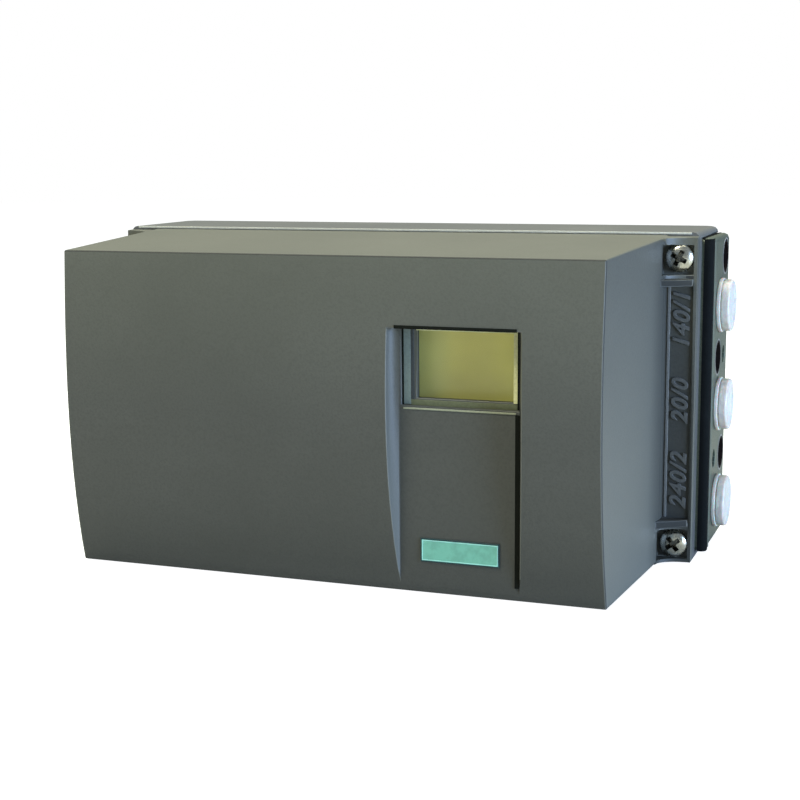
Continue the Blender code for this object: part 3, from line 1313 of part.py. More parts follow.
def build():
    clear_scene()
    dark = make_material("dark_plastic", (0.085, 0.088, 0.084), 0.5)
    aluminium = make_material("anodised_aluminium", (0.13, 0.15, 0.14), 0.38, 0.8)
    steel = make_material("stainless_steel", (0.6, 0.6, 0.58), 0.3, 1.0)
    brass = make_material("brass", (0.72, 0.53, 0.24), 0.32, 1.0)
    rubber = make_material("rubber", (0.025, 0.025, 0.025), 0.8)
    glass = make_material("window_glass", (0.75, 0.78, 0.72), 0.05)
    display = make_material("display", (0.33, 0.32, 0.12), 0.3)
    teal = make_material("plate", (0.11, 0.48, 0.36), 0.35)
    cap = make_material("plug_plastic", (0.78, 0.84, 0.9), 0.35)
    yellow = make_material("yellow_plastic", (0.85, 0.6, 0.05), 0.45)
    white = make_material("gear_plastic", (0.8, 0.8, 0.76), 0.4)
    green = make_material("circuit_board", (0.03, 0.2, 0.09), 0.5)
    grey = make_material("grey_plastic", (0.3, 0.32, 0.33), 0.5)
    sinter = make_material("sintered_bronze", (0.5, 0.36, 0.2), 0.7, 0.8)

    case = make_frame("case_frame")
    fixed = [
        (rear_housing(), dark), (cover_gasket(), rubber), (terminal_block(), aluminium),
        (block_gasket(), rubber), (shaft_bush(), sinter), (shaft_seal(), rubber),
        (gear_bracket(), steel), (potentiometer(), grey), (valve_manifold(), aluminium),
        (main_board(), green), (module_case(), grey), (key_board(), green),
        (display_frame(), dark), (display_glass(), display), (terminal_board(), green),
        (terminal_strip(), grey), (exhaust_silencer(), sinter), (earth_screw(), steel),
    ]
    for screws in (block_screws(), bracket_screws(), manifold_screws(), module_screws(),
                   terminal_board_screws()):
        fixed += [(item, steel) for item in screws]
    for number, z in enumerate(PILOT_CENTRES, 1):
        fixed.append((pilot_valve(f"pilot_valve_{number}", z), grey))
    for number, z in enumerate(ENTRY_HEIGHTS, 1):
        fixed.append((blanking_plug(f"blanking_plug_{number}", z), dark))
        fixed.append((entry_seal(f"entry_seal_{number}", z), rubber))
    for item, material in fixed:
        finish(item, material, case)

    cover = make_frame("cover_frame", (0, PARTING, 0))
    covering = [(front_cover(), dark), (window_seal(), rubber), (window_pane(), glass),
                (bare_plate(), teal)]
    for item, material in covering + [(item, steel) for item in cover_screws()]:
        finish(item, material, cover, cover.location)

    shaft = make_frame("shaft_axis", (SHAFT_X, 0, SHAFT_Z))
    for item, material in ((feedback_shaft(), steel), (drive_gear(), white),
                           (shaft_circlip(), steel)):
        finish(item, material, shaft, shaft.location)

    pinion = make_frame("pinion_axis", (SHAFT_X, GEAR_REAR, PINION_Z))
    for item, material in ((pot_pinion(), white), (clutch_wheel(), yellow)):
        finish(item, material, pinion, pinion.location)

    for number, z in enumerate(PORT_HEIGHTS, 1):
        finish(port_plug(f"port_plug_{number}", z), cap, case, (BLOCK_FACE, PORT_Y, z))
    for number, x in enumerate(key_places(), 1):
        finish(key(f"key_{number}", x), yellow, case, (x, MODULE_FRONT, KEY_Z))
    for number, z in enumerate(RESTRICTOR_CENTRES, 1):
        place = (MANIFOLD_MIDDLE, MANIFOLD_FRONT, z)
        finish(restrictor(f"restrictor_{number}", z), brass, case, place)
    place = (MANIFOLD_MIDDLE, MANIFOLD_FRONT, PURGE_Z)
    finish(purge_selector(), yellow, case, place)


build()
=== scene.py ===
# %% [markdown]
# # A valve positioner, dressed
# A valve positioner is the box on a control valve that reads where the valve stands and
# feeds it air. Its pieces come in as a fixed frame. This lesson gives each its finish and its
# fine shape, sets a camera and lights the lot like a small product studio.

# %% Load the frame
import json
import math

import bmesh
import bpy
from mathutils import Matrix, Vector


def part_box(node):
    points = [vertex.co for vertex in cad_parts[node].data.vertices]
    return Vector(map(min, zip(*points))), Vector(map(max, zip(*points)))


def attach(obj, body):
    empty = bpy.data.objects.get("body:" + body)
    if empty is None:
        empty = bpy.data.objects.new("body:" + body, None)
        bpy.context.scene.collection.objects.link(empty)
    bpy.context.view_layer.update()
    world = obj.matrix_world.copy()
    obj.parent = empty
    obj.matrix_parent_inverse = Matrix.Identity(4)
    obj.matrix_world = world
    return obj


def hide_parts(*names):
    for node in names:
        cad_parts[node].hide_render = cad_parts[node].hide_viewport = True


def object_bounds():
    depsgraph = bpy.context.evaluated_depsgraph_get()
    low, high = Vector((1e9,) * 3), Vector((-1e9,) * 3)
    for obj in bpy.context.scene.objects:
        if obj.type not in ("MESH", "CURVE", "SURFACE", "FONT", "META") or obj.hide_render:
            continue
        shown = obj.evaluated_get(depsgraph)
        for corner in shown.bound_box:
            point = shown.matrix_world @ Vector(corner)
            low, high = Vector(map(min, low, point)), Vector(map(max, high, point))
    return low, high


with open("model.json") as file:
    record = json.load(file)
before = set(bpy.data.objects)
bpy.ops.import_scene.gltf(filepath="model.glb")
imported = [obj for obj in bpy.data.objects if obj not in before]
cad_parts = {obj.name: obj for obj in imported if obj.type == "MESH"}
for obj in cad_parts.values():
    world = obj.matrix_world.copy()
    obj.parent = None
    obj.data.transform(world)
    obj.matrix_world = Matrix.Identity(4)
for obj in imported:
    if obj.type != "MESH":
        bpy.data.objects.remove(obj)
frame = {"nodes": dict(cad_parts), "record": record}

cad_low, cad_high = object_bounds()
nodes = frame["nodes"]
record = frame["record"]
print("pieces:", len(nodes))
print("box in mm:", [round(value * 1000, 1) for value in cad_high - cad_low])

# %% [markdown]
# ## The camera
# A photograph can be matched by eye or by measuring. Here the box's edges were measured in
# the picture and a camera was worked out that sees them the same way: a place, three angles
# and a lens.

# %% Camera
CAMERA_PLACE = Vector((0.1634, -0.4704, 0.0724))
CAMERA_YAW = math.radians(20.636)
CAMERA_PITCH = math.radians(9.851)
CAMERA_ROLL = math.radians(-0.501)
CAMERA_LENS = 68.59
CAMERA_SHIFT_Y = 0.01225


def new_object(name, data):
    """An object of the scene, at the origin."""
    item = bpy.data.objects.new(name, data)
    bpy.context.collection.objects.link(item)
    return item


camera = new_object("camera", bpy.data.cameras.new("camera"))
camera.data.lens = CAMERA_LENS
camera.data.shift_y = CAMERA_SHIFT_Y
camera.data.clip_start = 0.01
turn = (Matrix.Rotation(CAMERA_YAW, 4, "Z")
        @ Matrix.Rotation(math.pi / 2 - CAMERA_PITCH, 4, "X")
        @ Matrix.Rotation(CAMERA_ROLL, 4, "Z"))
camera.matrix_world = Matrix.Translation(CAMERA_PLACE) @ turn
bpy.context.scene.camera = camera
bpy.context.scene.view_settings.view_transform = "Standard"
print("camera at", [round(value, 3) for value in CAMERA_PLACE], "lens", CAMERA_LENS)

# %% [markdown]
# ## The studio
# Dark plastic shows its shape through what lights and mirrors in it, so the lamps are large
# and soft. The white round the object could come from flooding the floor with light, but
# that light would bounce back and wash out the dark plastic. Here world and floor are modest,
# and a white that only camera rays and rays through glass can see is laid over them.

# %% World and floor
AMBIENT = (0.80, 0.92, 1.0, 1)
AMBIENT_STRENGTH = 0.26
FLOOR_COLOUR = (0.40, 0.41, 0.40, 1)
FLOOR_WHITE = 0.92
FLOOR_RADIUS = 3.0
FLOOR_DROP = 0.0003


def fill(tree, node, inputs):
    """Give each input, by name or by number, a link from a socket or a plain value."""
    for key, value in inputs.items():
        if isinstance(value, bpy.types.NodeSocket):
            tree.links.new(value, node.inputs[key])
        else:
            node.inputs[key].default_value = value
    return node


def add(tree, kind, inputs, output=0):
    """Add a node with its inputs filled, and return one of its outputs."""
    return fill(tree, tree.nodes.new(kind), inputs).outputs[output]


def calculate(tree, operation, *values):
    """The result of a Math node."""
    node = tree.nodes.new("ShaderNodeMath")
    node.operation = operation
    return fill(tree, node, dict(enumerate(values))).outputs[0]


def emptied(owner):
    """The node tree of a world or a material, with nothing in it yet."""
    owner.use_nodes = True
    owner.node_tree.nodes.clear()
    return owner.node_tree


def seen_directly(tree):
    """A factor of 1 for camera and transmission rays, and 0 for the rest."""
    rays = tree.nodes.new("ShaderNodeLightPath").outputs
    return calculate(tree, "MAXIMUM", rays["Is Camera Ray"], rays["Is Transmission Ray"])


def built(bm, name):
    """The object that a finished bmesh describes."""
    mesh = bpy.data.meshes.new(name)
    bm.to_mesh(mesh)
    bm.free()
    return new_object(name, mesh)


world = bpy.data.worlds.new("studio")
bpy.context.scene.world = world
tree = emptied(world)
light = add(tree, "ShaderNodeBackground", {"Color": AMBIENT, "Strength": AMBIENT_STRENGTH})
white = add(tree, "ShaderNodeBackground", {"Color": (1, 1, 1, 1)})
both = add(tree, "ShaderNodeMixShader", {0: seen_directly(tree), 1: light, 2: white})
tree.links.new(both, tree.nodes.new("ShaderNodeOutputWorld").inputs[0])

bm = bmesh.new()
bmesh.ops.create_circle(bm, cap_ends=True, segments=64, radius=FLOOR_RADIUS)
floor = built(bm, "floor")
floor.data.transform(Matrix.Translation((0, 0, cad_low.z - FLOOR_DROP)))

floor_material = bpy.data.materials.new("pale floor")
tree = emptied(floor_material)
diffuse = add(tree, "ShaderNodeBsdfDiffuse", {"Color": FLOOR_COLOUR})
glow = add(tree, "ShaderNodeEmission",
           {"Strength": calculate(tree, "MULTIPLY", seen_directly(tree), FLOOR_WHITE)})
both = add(tree, "ShaderNodeAddShader", {0: diffuse, 1: glow})
tree.links.new(both, tree.nodes.new("ShaderNodeOutputMaterial").inputs[0])
floor.data.materials.append(floor_material)
print("floor at", round((cad_low.z - FLOOR_DROP) * 1000, 1), "mm")

# %% [markdown]
# The photograph tells where its light came from: the top is palest and warm, the right side
# is bluish and grows paler downwards, and the front darkens towards its foot. So there is a
# warm lamp overhead, a second one high in front, and a cool low one on the right.

# %% Lamps
LAMPS = {
    "overhead": ((-0.05, 0.10, 0.85), (0, -0.05, 0), 0.8, 13.0, (1.0, 1.0, 0.84)),
    "front": ((-0.42, -0.72, 1.10), (0, -0.1, 0), 0.6, 16.5, (1.0, 1.0, 0.84)),
    "right": ((1.0, -0.42, 0.02), (0.08, -0.05, 0), 0.55, 28.0, (0.455, 0.645, 1.0)),
}

for name, (place, aim, width, power, colour) in LAMPS.items():
    lamp = bpy.data.lights.new(name, "AREA")
    lamp.shape = "DISK"
    lamp.size = width
    lamp.energy = power
    lamp.color = colour
    holder = new_object(name, lamp)
    holder.location = place
    holder.rotation_euler = (Vector(aim) - Vector(place)).to_track_quat("-Z", "Y").to_euler()
print("lamps:", ", ".join(LAMPS))

# %% [markdown]
# ## What finishes share
# The moulded pieces share one thing: a fine, even grain, etched into the mould by sparks. It
# could be a picture wrapped round the box, but noise costs nothing and has no seams. The
# group gives a height for the bump, a tone that drifts slowly, and faint handling marks.


# %% Shader group: moulded grain
def new_group(name, inputs, outputs):
    """A shader node group with float inputs {name: default} and float outputs."""
    group = bpy.data.node_groups.new(name, "ShaderNodeTree")
    for socket, value in inputs.items():
        made = group.interface.new_socket(socket, in_out="INPUT", socket_type="NodeSocketFloat")
        made.default_value = value
    for socket in outputs:
        group.interface.new_socket(socket, in_out="OUTPUT", socket_type="NodeSocketFloat")
    return group, group.nodes.new("NodeGroupInput").outputs, group.nodes.new("NodeGroupOutput")


def noise(tree, vector, scale, detail, roughness):
    """Noise between 0 and 1; its scale is a number or comes from a socket."""
    return add(tree, "ShaderNodeTexNoise", {"Vector": vector, "Scale": scale, "Detail": detail,
                                            "Roughness": roughness}, "Fac")


def stretch(tree, value, low, high, to_low=0, to_high=1):
    """A value moved from one range into another and held inside it."""
    return add(tree, "ShaderNodeMapRange", {"Value": value, "From Min": low, "From Max": high,
                                            "To Min": to_low, "To Max": to_high}, "Result")


def own_place(tree):
    """The object's own coordinates, which stay with the piece when it moves."""
    return tree.nodes.new("ShaderNodeTexCoord").outputs["Object"]


def stretched_place(tree, scale):
    """Object coordinates drawn out along the axes, for brushed and smeared marks."""
    return add(tree, "ShaderNodeMapping", {"Scale": scale, "Vector": own_place(tree)}, "Vector")


def give(group, leave, outputs):
    """Link what a shader group gives out."""
    fill(group, leave, outputs)
    print("group", group.name, "gives", list(outputs))


grain, entry, leave = new_group("moulded grain", {"Grain Scale": 1500.0, "Drift Scale": 16.0},
                                ("Height", "Drift", "Marks"))
smears = noise(grain, stretched_place(grain, (40, 40, 90)), 1.0, 5.0, 0.7)
give(grain, leave, {
    "Height": noise(grain, own_place(grain), entry["Grain Scale"], 3.0, 0.65),
    "Drift": noise(grain, own_place(grain), entry["Drift Scale"], 3.0, 0.55),
    "Marks": stretch(grain, smears, 0.52, 0.75)})

# %% [markdown]
# Bare metal is told from plastic by its scratches: short, fine and running every way. A
# second group makes them from noise drawn out along one axis, and metals mix it into their
# gloss rather than their colour, because a scratch in metal is a change of shine.

# %% Shader group: scratches
scratches, entry, leave = new_group("fine scratches", {"Spread": 0.5}, ("Scratch", "Tarnish"))
lines = noise(scratches, stretched_place(scratches, (260, 260, 4200)), 1.0, 2.0, 0.6)
cross = noise(scratches, stretched_place(scratches, (4200, 300, 260)), 1.0, 2.0, 0.6)
larger = calculate(scratches, "MAXIMUM", lines, cross)
give(scratches, leave, {
    "Scratch": stretch(scratches, larger, entry["Spread"], 0.8),
    "Tarnish": noise(scratches, own_place(scratches), 420.0, 4.0, 0.6)})

# %% [markdown]
# Pale edges and painted shade sit where the shape tells: pale on edges, partly wear and partly
# painted highlight, and painted shade in creases and recesses. Two attributes carry the marks of
# the faces, and one group turns them into three masks, so that plastic and metal read the same
# marks in the same way.

# %% Shader group: worn edges and painted light
def attribute(tree, name):
    """What a named attribute of the faces says."""
    node = tree.nodes.new("ShaderNodeAttribute")
    node.attribute_name = name
    return node.outputs["Fac"]


wear_and_painted_light, entry, leave = new_group("worn edges and painted light", {"Strength": 1.0}, ("Pale", "Painted Shade", "Recess"))
# The first mask is pale edges, partly wear and partly painted highlight; the other two are painted
# shade.
masks = {"Pale": stretch(wear_and_painted_light, attribute(wear_and_painted_light, "edge"), 0, 1),
         "Painted Shade": stretch(wear_and_painted_light, attribute(wear_and_painted_light, "edge"), -1, 0, 1, 0),
         "Recess": attribute(wear_and_painted_light, "recess")}
give(wear_and_painted_light, leave, {name: calculate(wear_and_painted_light, "MULTIPLY", mask, entry["Strength"])
                         for name, mask in masks.items()})

# %% [markdown]
# ## Materials
# Each finish is one Principled shader. Values that are the same all over sit on its own
# sockets, and only what changes over the surface comes from nodes.


# %% Material helpers
MIX_FIRST, MIX_SECOND, MIX_COLOUR = 6, 7, 2


def times(colour, factor):
    return tuple(value * factor for value in colour)


def thousandths(tone):
    return tuple(value / 1000 for value in tone)


def blend(tree, factor, first, second):
    """Mix two colours, each a socket or a plain value, by a factor."""
    first, second = [(*colour, 1) if isinstance(colour, tuple) else colour
                     for colour in (first, second)]
    node = tree.nodes.new("ShaderNodeMix")
    node.data_type = "RGBA"
    fill(tree, node, {"Factor": factor, MIX_FIRST: first, MIX_SECOND: second})
    return node.outputs[MIX_COLOUR]


def new_material(name, **values):
    """A Principled material; the values go on its sockets, with spaces for underscores."""
    material = bpy.data.materials.new(name)
    material.use_nodes = True
    shader = material.node_tree.nodes["Principled BSDF"]
    for socket, value in values.items():
        target = shader.inputs[socket.replace("_", " ")]
        target.default_value = (*value, 1) if isinstance(value, tuple) else value
    return material, material.node_tree, shader


def use_group(tree, group, inputs=None):
    """The outputs of a group that is put to use in a material."""
    node = tree.nodes.new("ShaderNodeGroup")
    node.node_tree = group
    return fill(tree, node, inputs or {}).outputs


def bump(tree, shader, height, distance):
    normal = add(tree, "ShaderNodeBump", {"Distance": distance, "Height": height}, "Normal")
    fill(tree, shader, {"Normal": normal})


def split(tree, vector):
    return fill(tree, tree.nodes.new("ShaderNodeSeparateXYZ"), {0: vector}).outputs


# %% [markdown]
# Light and shade are painted into the case's colour: its front is paler at the top and darker
# at the foot, its right side paler at the foot, and the ear's fillet holds painted shade. A finish
# can follow that, because height and the way a face looks are both values a shader can read.

# %% Painted light on the case
FILLET_Y = (-0.056, -0.041)
RIM_X = (0.0880, 0.0905)
FRONT_TOP_LIGHT = (1.42, 1.42, 1.22)
SIDE_FOOT_LIGHT = 1.9


def fade(tree, colour, dark, pale):
    """Painted light: front paler on top, darker at the foot; side paler at the foot; shade in the
    fillet.
    """
    place = split(tree, own_place(tree))
    facing = split(tree, tree.nodes.new("ShaderNodeNewGeometry").outputs["Normal"])
    lit_front_top = tuple(value * gain for value, gain in zip(pale, FRONT_TOP_LIGHT))
    # Painted light: the front is paler towards the top and darker towards the foot.
    front = blend(tree, stretch(tree, place["Z"], 0, 0.05, 0, 0.5), colour, lit_front_top)
    front = blend(tree, stretch(tree, place["Z"], 0.02, -0.05, 0, 0.5), front, times(dark, 0.62))
    # Painted light: the right side is paler towards its foot.
    side = blend(tree, stretch(tree, place["Z"], 0.045, -0.045, 0.04, 0.72), colour,
                 times(pale, SIDE_FOOT_LIGHT))
    # Painted shade darkens the ear's fillet.
    fillet_shade = calculate(tree, "MULTIPLY", stretch(tree, place["Y"], *FILLET_Y, 0, 0.75),
                      stretch(tree, place["X"], *RIM_X, 1, 0))
    side = blend(tree, fillet_shade, side, times(dark, 0.45))
    return blend(tree, stretch(tree, facing["X"], 0.5, 0.9), front, side)


# %% [markdown]
# Two functions make nearly every material: one for whatever has a grain, one for bare metal.
# Both read the edge marks last, so that pale edges, partly wear and partly painted highlight,
# and painted shade lie over the other tones.

# %% Moulded and metal
# Roughness where the painted shade marks lie.
SHADE_MARK_ROUGHNESS = 0.92


def moulded(name, dark, pale, roughness, grain_scale=1500.0, depth=0.00005, marks=0.12,
            with_painted_light=False, pale_edge_gain=1.55, **values):
    """Grained plastic, rubber or casting whose tone drifts between two colours."""
    dark, pale = thousandths(dark), thousandths(pale)
    material, tree, shader = new_material(name, **values)
    group = use_group(tree, grain, {"Grain Scale": grain_scale})
    tone = blend(tree, stretch(tree, group["Drift"], 0.3, 0.7), dark, pale)
    grey = tuple(value * 1.5 + 0.02 for value in pale)
    tone = blend(tree, stretch(tree, group["Marks"], 0, 1, 0, marks), tone, grey)
    pits = stretch(tree, group["Height"], 0.36, 0.56, 0.5, 0)
    tone = blend(tree, pits, tone, times(dark, 0.72))
    # Painted light and shade on the case's front, side and fillet.
    if with_painted_light:
        tone = fade(tree, tone, dark, pale)
    # Pale edges are partly wear and partly painted highlight; the shade mask is painted shade and
    # also dulls the gloss.
    edge_marks = use_group(tree, wear_and_painted_light)
    tone = blend(tree, edge_marks["Pale"], tone, times(pale, pale_edge_gain))
    tone = blend(tree, edge_marks["Painted Shade"], tone, times(dark, 0.28))
    rough = stretch(tree, group["Drift"], 0.3, 0.7, roughness - 0.05, roughness + 0.05)
    dull = max(0, SHADE_MARK_ROUGHNESS - roughness)
    rough = calculate(tree, "MULTIPLY_ADD", edge_marks["Painted Shade"], dull, rough)
    fill(tree, shader, {"Base Color": tone, "Roughness": rough})
    bump(tree, shader, group["Height"], depth)
    return material


def metal(name, colour, roughness):
    """Bare metal: scratches change its gloss, tarnish its tone, and its recesses get painted
    shade.
    """
    colour = thousandths(colour)
    material, tree, shader = new_material(name, Metallic=1.0)
    group = use_group(tree, scratches)
    tone = blend(tree, stretch(tree, group["Tarnish"], 0.35, 0.7), colour, times(colour, 0.62))
    # Painted shade inside recesses.
    deep = blend(tree, use_group(tree, wear_and_painted_light)["Recess"], tone, times(colour, 0.26))
    rough = stretch(tree, group["Scratch"], 0, 1, roughness, roughness + 0.25)
    fill(tree, shader, {"Base Color": deep, "Roughness": rough})
    bump(tree, shader, group["Scratch"], 0.000008)
    return material


# %% [markdown]
# The case is a dark olive grey in warm light and a slate grey in cool light, so its own
# colour is nearly neutral and the lamps do the tinting. The block is dark anodised, the caps
# are milky polyethylene that lets light in, and the little plate is teal enamel.

# %% Finishes
# Tones are in thousandths of full brightness.
# The case plastic gets painted light and shade.
case_plastic = moulded("case plastic", (60, 61, 51.5), (75, 76, 64.5), 0.50, with_painted_light=True)
# The housing's pale edges are strong: a painted highlight on its rim.
case_paint = moulded("case paint", (98, 98, 92), (120, 120, 112), 0.36, 1100.0, 0.00003, pale_edge_gain=3.0)
frame_plastic = moulded("frame plastic", (22, 28, 30), (34, 41, 43), 0.4)
dark_plastic = moulded("plug plastic black", (20, 21, 21), (30, 31, 31), 0.45)
grey_plastic = moulded("module plastic", (220, 230, 240), (280, 290, 300), 0.5)
green_plastic = moulded("terminal green", (30, 160, 70), (50, 220, 100), 0.4)
yellow_plastic = moulded("yellow plastic", (720, 440, 30), (820, 540, 50), 0.4)
gear_plastic = moulded("gear acetal", (680, 680, 630), (760, 760, 720), 0.38, 700.0, 0.00001)
board_resist = moulded("board resist", (10, 90, 35), (16, 130, 50), 0.32, 900.0, 0.00001)
chip_resin = moulded("chip resin", (12, 12, 13), (20, 20, 21), 0.5, 2500.0)
rubber = moulded("rubber", (10, 10, 10), (17, 17, 17), 0.78)
anodised = moulded("block anodised", (64, 77, 56), (100, 119, 88), 0.42, 1900.0, 0.00006,
                   Metallic=0.35)
port_plastic = moulded("cap polyethylene", (560, 530, 475), (650, 620, 555), 0.30, 500.0,
                       0.00001, 0.05, Subsurface_Weight=0.35, Subsurface_Scale=0.003)
enamel = moulded("plate enamel", (145, 395, 290), (160, 420, 310), 0.3, 300.0, 0.00001, 0.03)
enamel_rim = moulded("plate rim", (280, 620, 520), (330, 680, 580), 0.3, 300.0, 0.00001)
enamel_edge = moulded("plate edge", (6, 35, 38), (10, 50, 50), 0.4)
# Painted highlight: the raised marks are paler than the case.
mark_plastic = moulded("raised marks", (72, 74, 69), (88, 90, 84), 0.38)
# Painted highlight: the bead is paler than the case.
bead_highlight = moulded("panel bead highlight", (130, 133, 125), (150, 153, 145), 0.38)
# Painted shade: near black, for the gap at the block.
gap_shade = moulded("gap painted shade", (3, 4, 4), (5, 6, 6), 0.85, Specular_IOR_Level=0.1)
# Painted highlight on the block's front edge.
block_edge_highlight = moulded("block edge highlight", (85, 99, 74), (115, 132, 100), 0.6, 1900.0, 0.00006)
# Painted highlight: the bright ring round the mouth of each hole.
socket_rim_highlight = moulded("socket rim highlight", (190, 190, 180), (250, 250, 235), 0.4, 1900.0, 0.00003,
                       Metallic=0.3)
# Painted shade inside the holes, tinted reddish brown.
socket_shade = moulded("socket shade", (6, 3, 2.5), (10, 6, 5), 0.8, Specular_IOR_Level=0.12)
# Painted highlight on the housing's front rim.
rim_highlight = moulded("rim highlight", (440, 435, 370), (520, 515, 440), 0.4)
# Painted shade: the dark lines round the window and down the recess.
trim_dark = moulded("trim dark", (4, 5, 3), (6, 7, 4), 0.8, Specular_IOR_Level=0.12)
trim_sill = moulded("trim sill", (105, 115, 58), (130, 140, 72), 0.5)
trim_edge = moulded("trim edge", (140, 180, 160), (170, 210, 185), 0.4)
# Painted highlight: the pale lines on the display's right and top edges.
trim_highlight = moulded("trim highlight", (700, 670, 330), (800, 770, 400), 0.35)
trim_lip = moulded("trim lip", (250, 260, 170), (300, 310, 210), 0.4)
steel = metal("nickelled steel", (780, 750, 640), 0.18)
tin = metal("tinned leads", (720, 720, 700), 0.35)
brass = metal("brass", (700, 500, 220), 0.3)
sinter = moulded("sintered bronze", (240, 160, 80), (400, 280, 150), 0.6, 2500.0, 0.0001,
                 Metallic=0.7)
print("materials:", len(bpy.data.materials))

# %% [markdown]
# The display is an unlit liquid crystal: olive yellow. Its left, seen at a flat angle, is duller
# by painted shade, and its right edge paler by a painted highlight. Its tone runs with the X of
# the object's own coordinates. A very weak emission of the same tone is painted light, so the film
# sends back more light than a painted face.

# %% Display film
FILM_LEFT = (0.43, 0.47, 0.165)
FILM_RIGHT = (0.64, 0.60, 0.165)
FILM_EDGE_HIGHLIGHT = (0.78, 0.74, 0.165)
FILM_PAINTED_GLOW = 0.20
display_film, tree, shader = new_material(
    "display film", Roughness=0.3, Coat_Weight=0.4, Coat_Roughness=0.08,
    Emission_Strength=FILM_PAINTED_GLOW)
across = split(tree, own_place(tree))["X"]
# Painted shade on the left, a painted highlight at the right edge.
tone = blend(tree, stretch(tree, across, 0.024, 0.034), FILM_LEFT, FILM_RIGHT)
tone = blend(tree, stretch(tree, across, 0.044, 0.055), tone, FILM_EDGE_HIGHLIGHT)
group = use_group(tree, grain, {"Grain Scale": 900.0, "Drift Scale": 70.0})
tone = blend(tree, stretch(tree, group["Drift"], 0.35, 0.65, 0, 0.3), tone,
             times(FILM_RIGHT, 0.72))
# The emission is painted light.
fill(tree, shader, {"Base Color": tone, "Emission Color": tone})
bump(tree, shader, group["Height"], 0.000005)
print("film from", FILM_LEFT, "to", FILM_RIGHT)

# %% [markdown]
# The window is a flat pane. A glass that bends light would need costly rays to light what is
# behind it, and a flat pane bends nothing that the eye would miss. So the pane is mostly
# see-through by its alpha and keeps a sharp gloss. A faint haze varies over it.

# %% Window glass
HAZE = (0.05, 0.09)
window_glass, tree, shader = new_material(
    "window glass", Base_Color=(0.06, 0.066, 0.05), Roughness=0.05)
group = use_group(tree, grain, {"Drift Scale": 60.0})
fill(tree, shader, {"Alpha": stretch(tree, group["Drift"], 0.3, 0.7, *HAZE)})
print("window alpha from", HAZE[0], "to", HAZE[1])

# %% [markdown]
# Every solid of the frame gets a finish in its own material slot. The record says what stuff
# it is, and a few pieces have a finish of their own. Most get a softer copy further down.

# %% Dress the solids
FINISH_OF_SLOT = {
    "case_plastic": case_plastic, "anodised": anodised, "steel": steel, "brass": brass,
    "rubber": rubber, "window": window_glass, "display": display_film, "plate": enamel,
    "plug": port_plastic, "yellow": yellow_plastic, "gear": gear_plastic,
    "board": board_resist, "grey": grey_plastic, "sinter": sinter,
}
OWN_FINISH = {
    "rear_housing": case_paint, "display_frame": frame_plastic, "terminal_strip": green_plastic,
    "blanking_plug_1": dark_plastic, "blanking_plug_2": dark_plastic,
    "pilot_valve_1": dark_plastic, "pilot_valve_2": dark_plastic,
}
body_of = {name: body for body, members in record["behaviour"]["bodies"].items()
           for name in members}
slot_of = {item["node"]: item["material_slot"] for item in record["subparts"]}
finish_of = {name: OWN_FINISH.get(name, FINISH_OF_SLOT[slot]) for name, slot in slot_of.items()}
for name, item in nodes.items():
    item.data.materials.clear()
    item.data.materials.append(finish_of[name])
print("dressed:", len(nodes), "solids in", len(set(finish_of.values())), "finishes")

# %% [markdown]
# ## Soft edges
# A solid from CAD has knife edges, and a real moulding has none: its edges catch the light.
# So a copy of each solid is merged and cleaned, a bevel rounds what is sharper than a limit,
# and a Weighted Normal modifier keeps the large faces flat. Edges beside a very short one
# are left out, because they would pinch the bevel. The copy then stands for the solid.

# %% Soft-edged copies
MERGE = 0.000002
FLAT_LIMIT = math.radians(0.3)
ROUND_FROM = math.radians(32)
SHARP_FROM = math.radians(50)


def bake(item):
    """Turn what the modifiers make into the object's own mesh."""
    graph = bpy.context.evaluated_depsgraph_get()
    item.data = bpy.data.meshes.new_from_object(item.evaluated_get(graph))
    item.modifiers.clear()


def shade(item):
    """Smooth shading that leaves flat faces flat and sharp corners sharp."""
    item.data.shade_smooth()
    item.data.set_sharp_from_angle(angle=SHARP_FROM)
    modifier = item.modifiers.new("flat faces", "WEIGHTED_NORMAL")
    modifier.keep_sharp = True
    bake(item)


def settle(item, material, body, slot, *replaced):
    """Give a finished piece its finish, its body and the solids it stands for."""
    item.data.materials.clear()
    item.data.materials.append(material)
    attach(item, body)
    if replaced:
        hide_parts(*replaced)
    return item


def far_from_short(edge, limit):
    """True where no edge at either end is shorter than the limit."""
    return all(other.calc_length() > limit for vertex in edge.verts for other in vertex.link_edges)


def plain_wear(centre, normal, rounded):
    """Every rounded edge is pale: partly wear, partly painted highlight."""
    return 1.0 if rounded else 0.0


SHORT = {"front_cover": 0.0010, "rear_housing": 0.0015, "terminal_block": 0.0015,
         "module_case": 0.0015}


def soften(name, width, edge_marks=plain_wear, reshape=None):
    """A merged copy of a solid with round edges, which takes the solid's place."""
    bm = bmesh.new()
    bm.from_mesh(nodes[name].data)
    bmesh.ops.remove_doubles(bm, verts=bm.verts, dist=MERGE)
    bmesh.ops.dissolve_limit(bm, angle_limit=FLAT_LIMIT, verts=bm.verts, edges=bm.edges)
    for vertex in bm.verts if reshape else ():
        reshape(vertex.co)
    bm.normal_update()
    sharp = [edge for edge in bm.edges if len(edge.link_faces) == 2
             and edge.calc_face_angle() > ROUND_FROM and far_from_short(edge, SHORT.get(name, 0))]
    mark = bm.faces.layers.float.new("edge")
    made = bmesh.ops.bevel(bm, geom=sharp, offset=width, offset_type="OFFSET", profile=0.5,
                           segments=2, affect="EDGES", clamp_overlap=True)
    rounded = set(made["faces"])
    for face in bm.faces:
        face.normal_update()
        # The edge mark: pale edges and painted shade, from the rule given.
        face[mark] = edge_marks(face.calc_center_median(), face.normal, face in rounded)
    copy = built(bm, name + "_soft")
    shade(copy)
    return settle(copy, finish_of[name], body_of[name], slot_of[name], name)


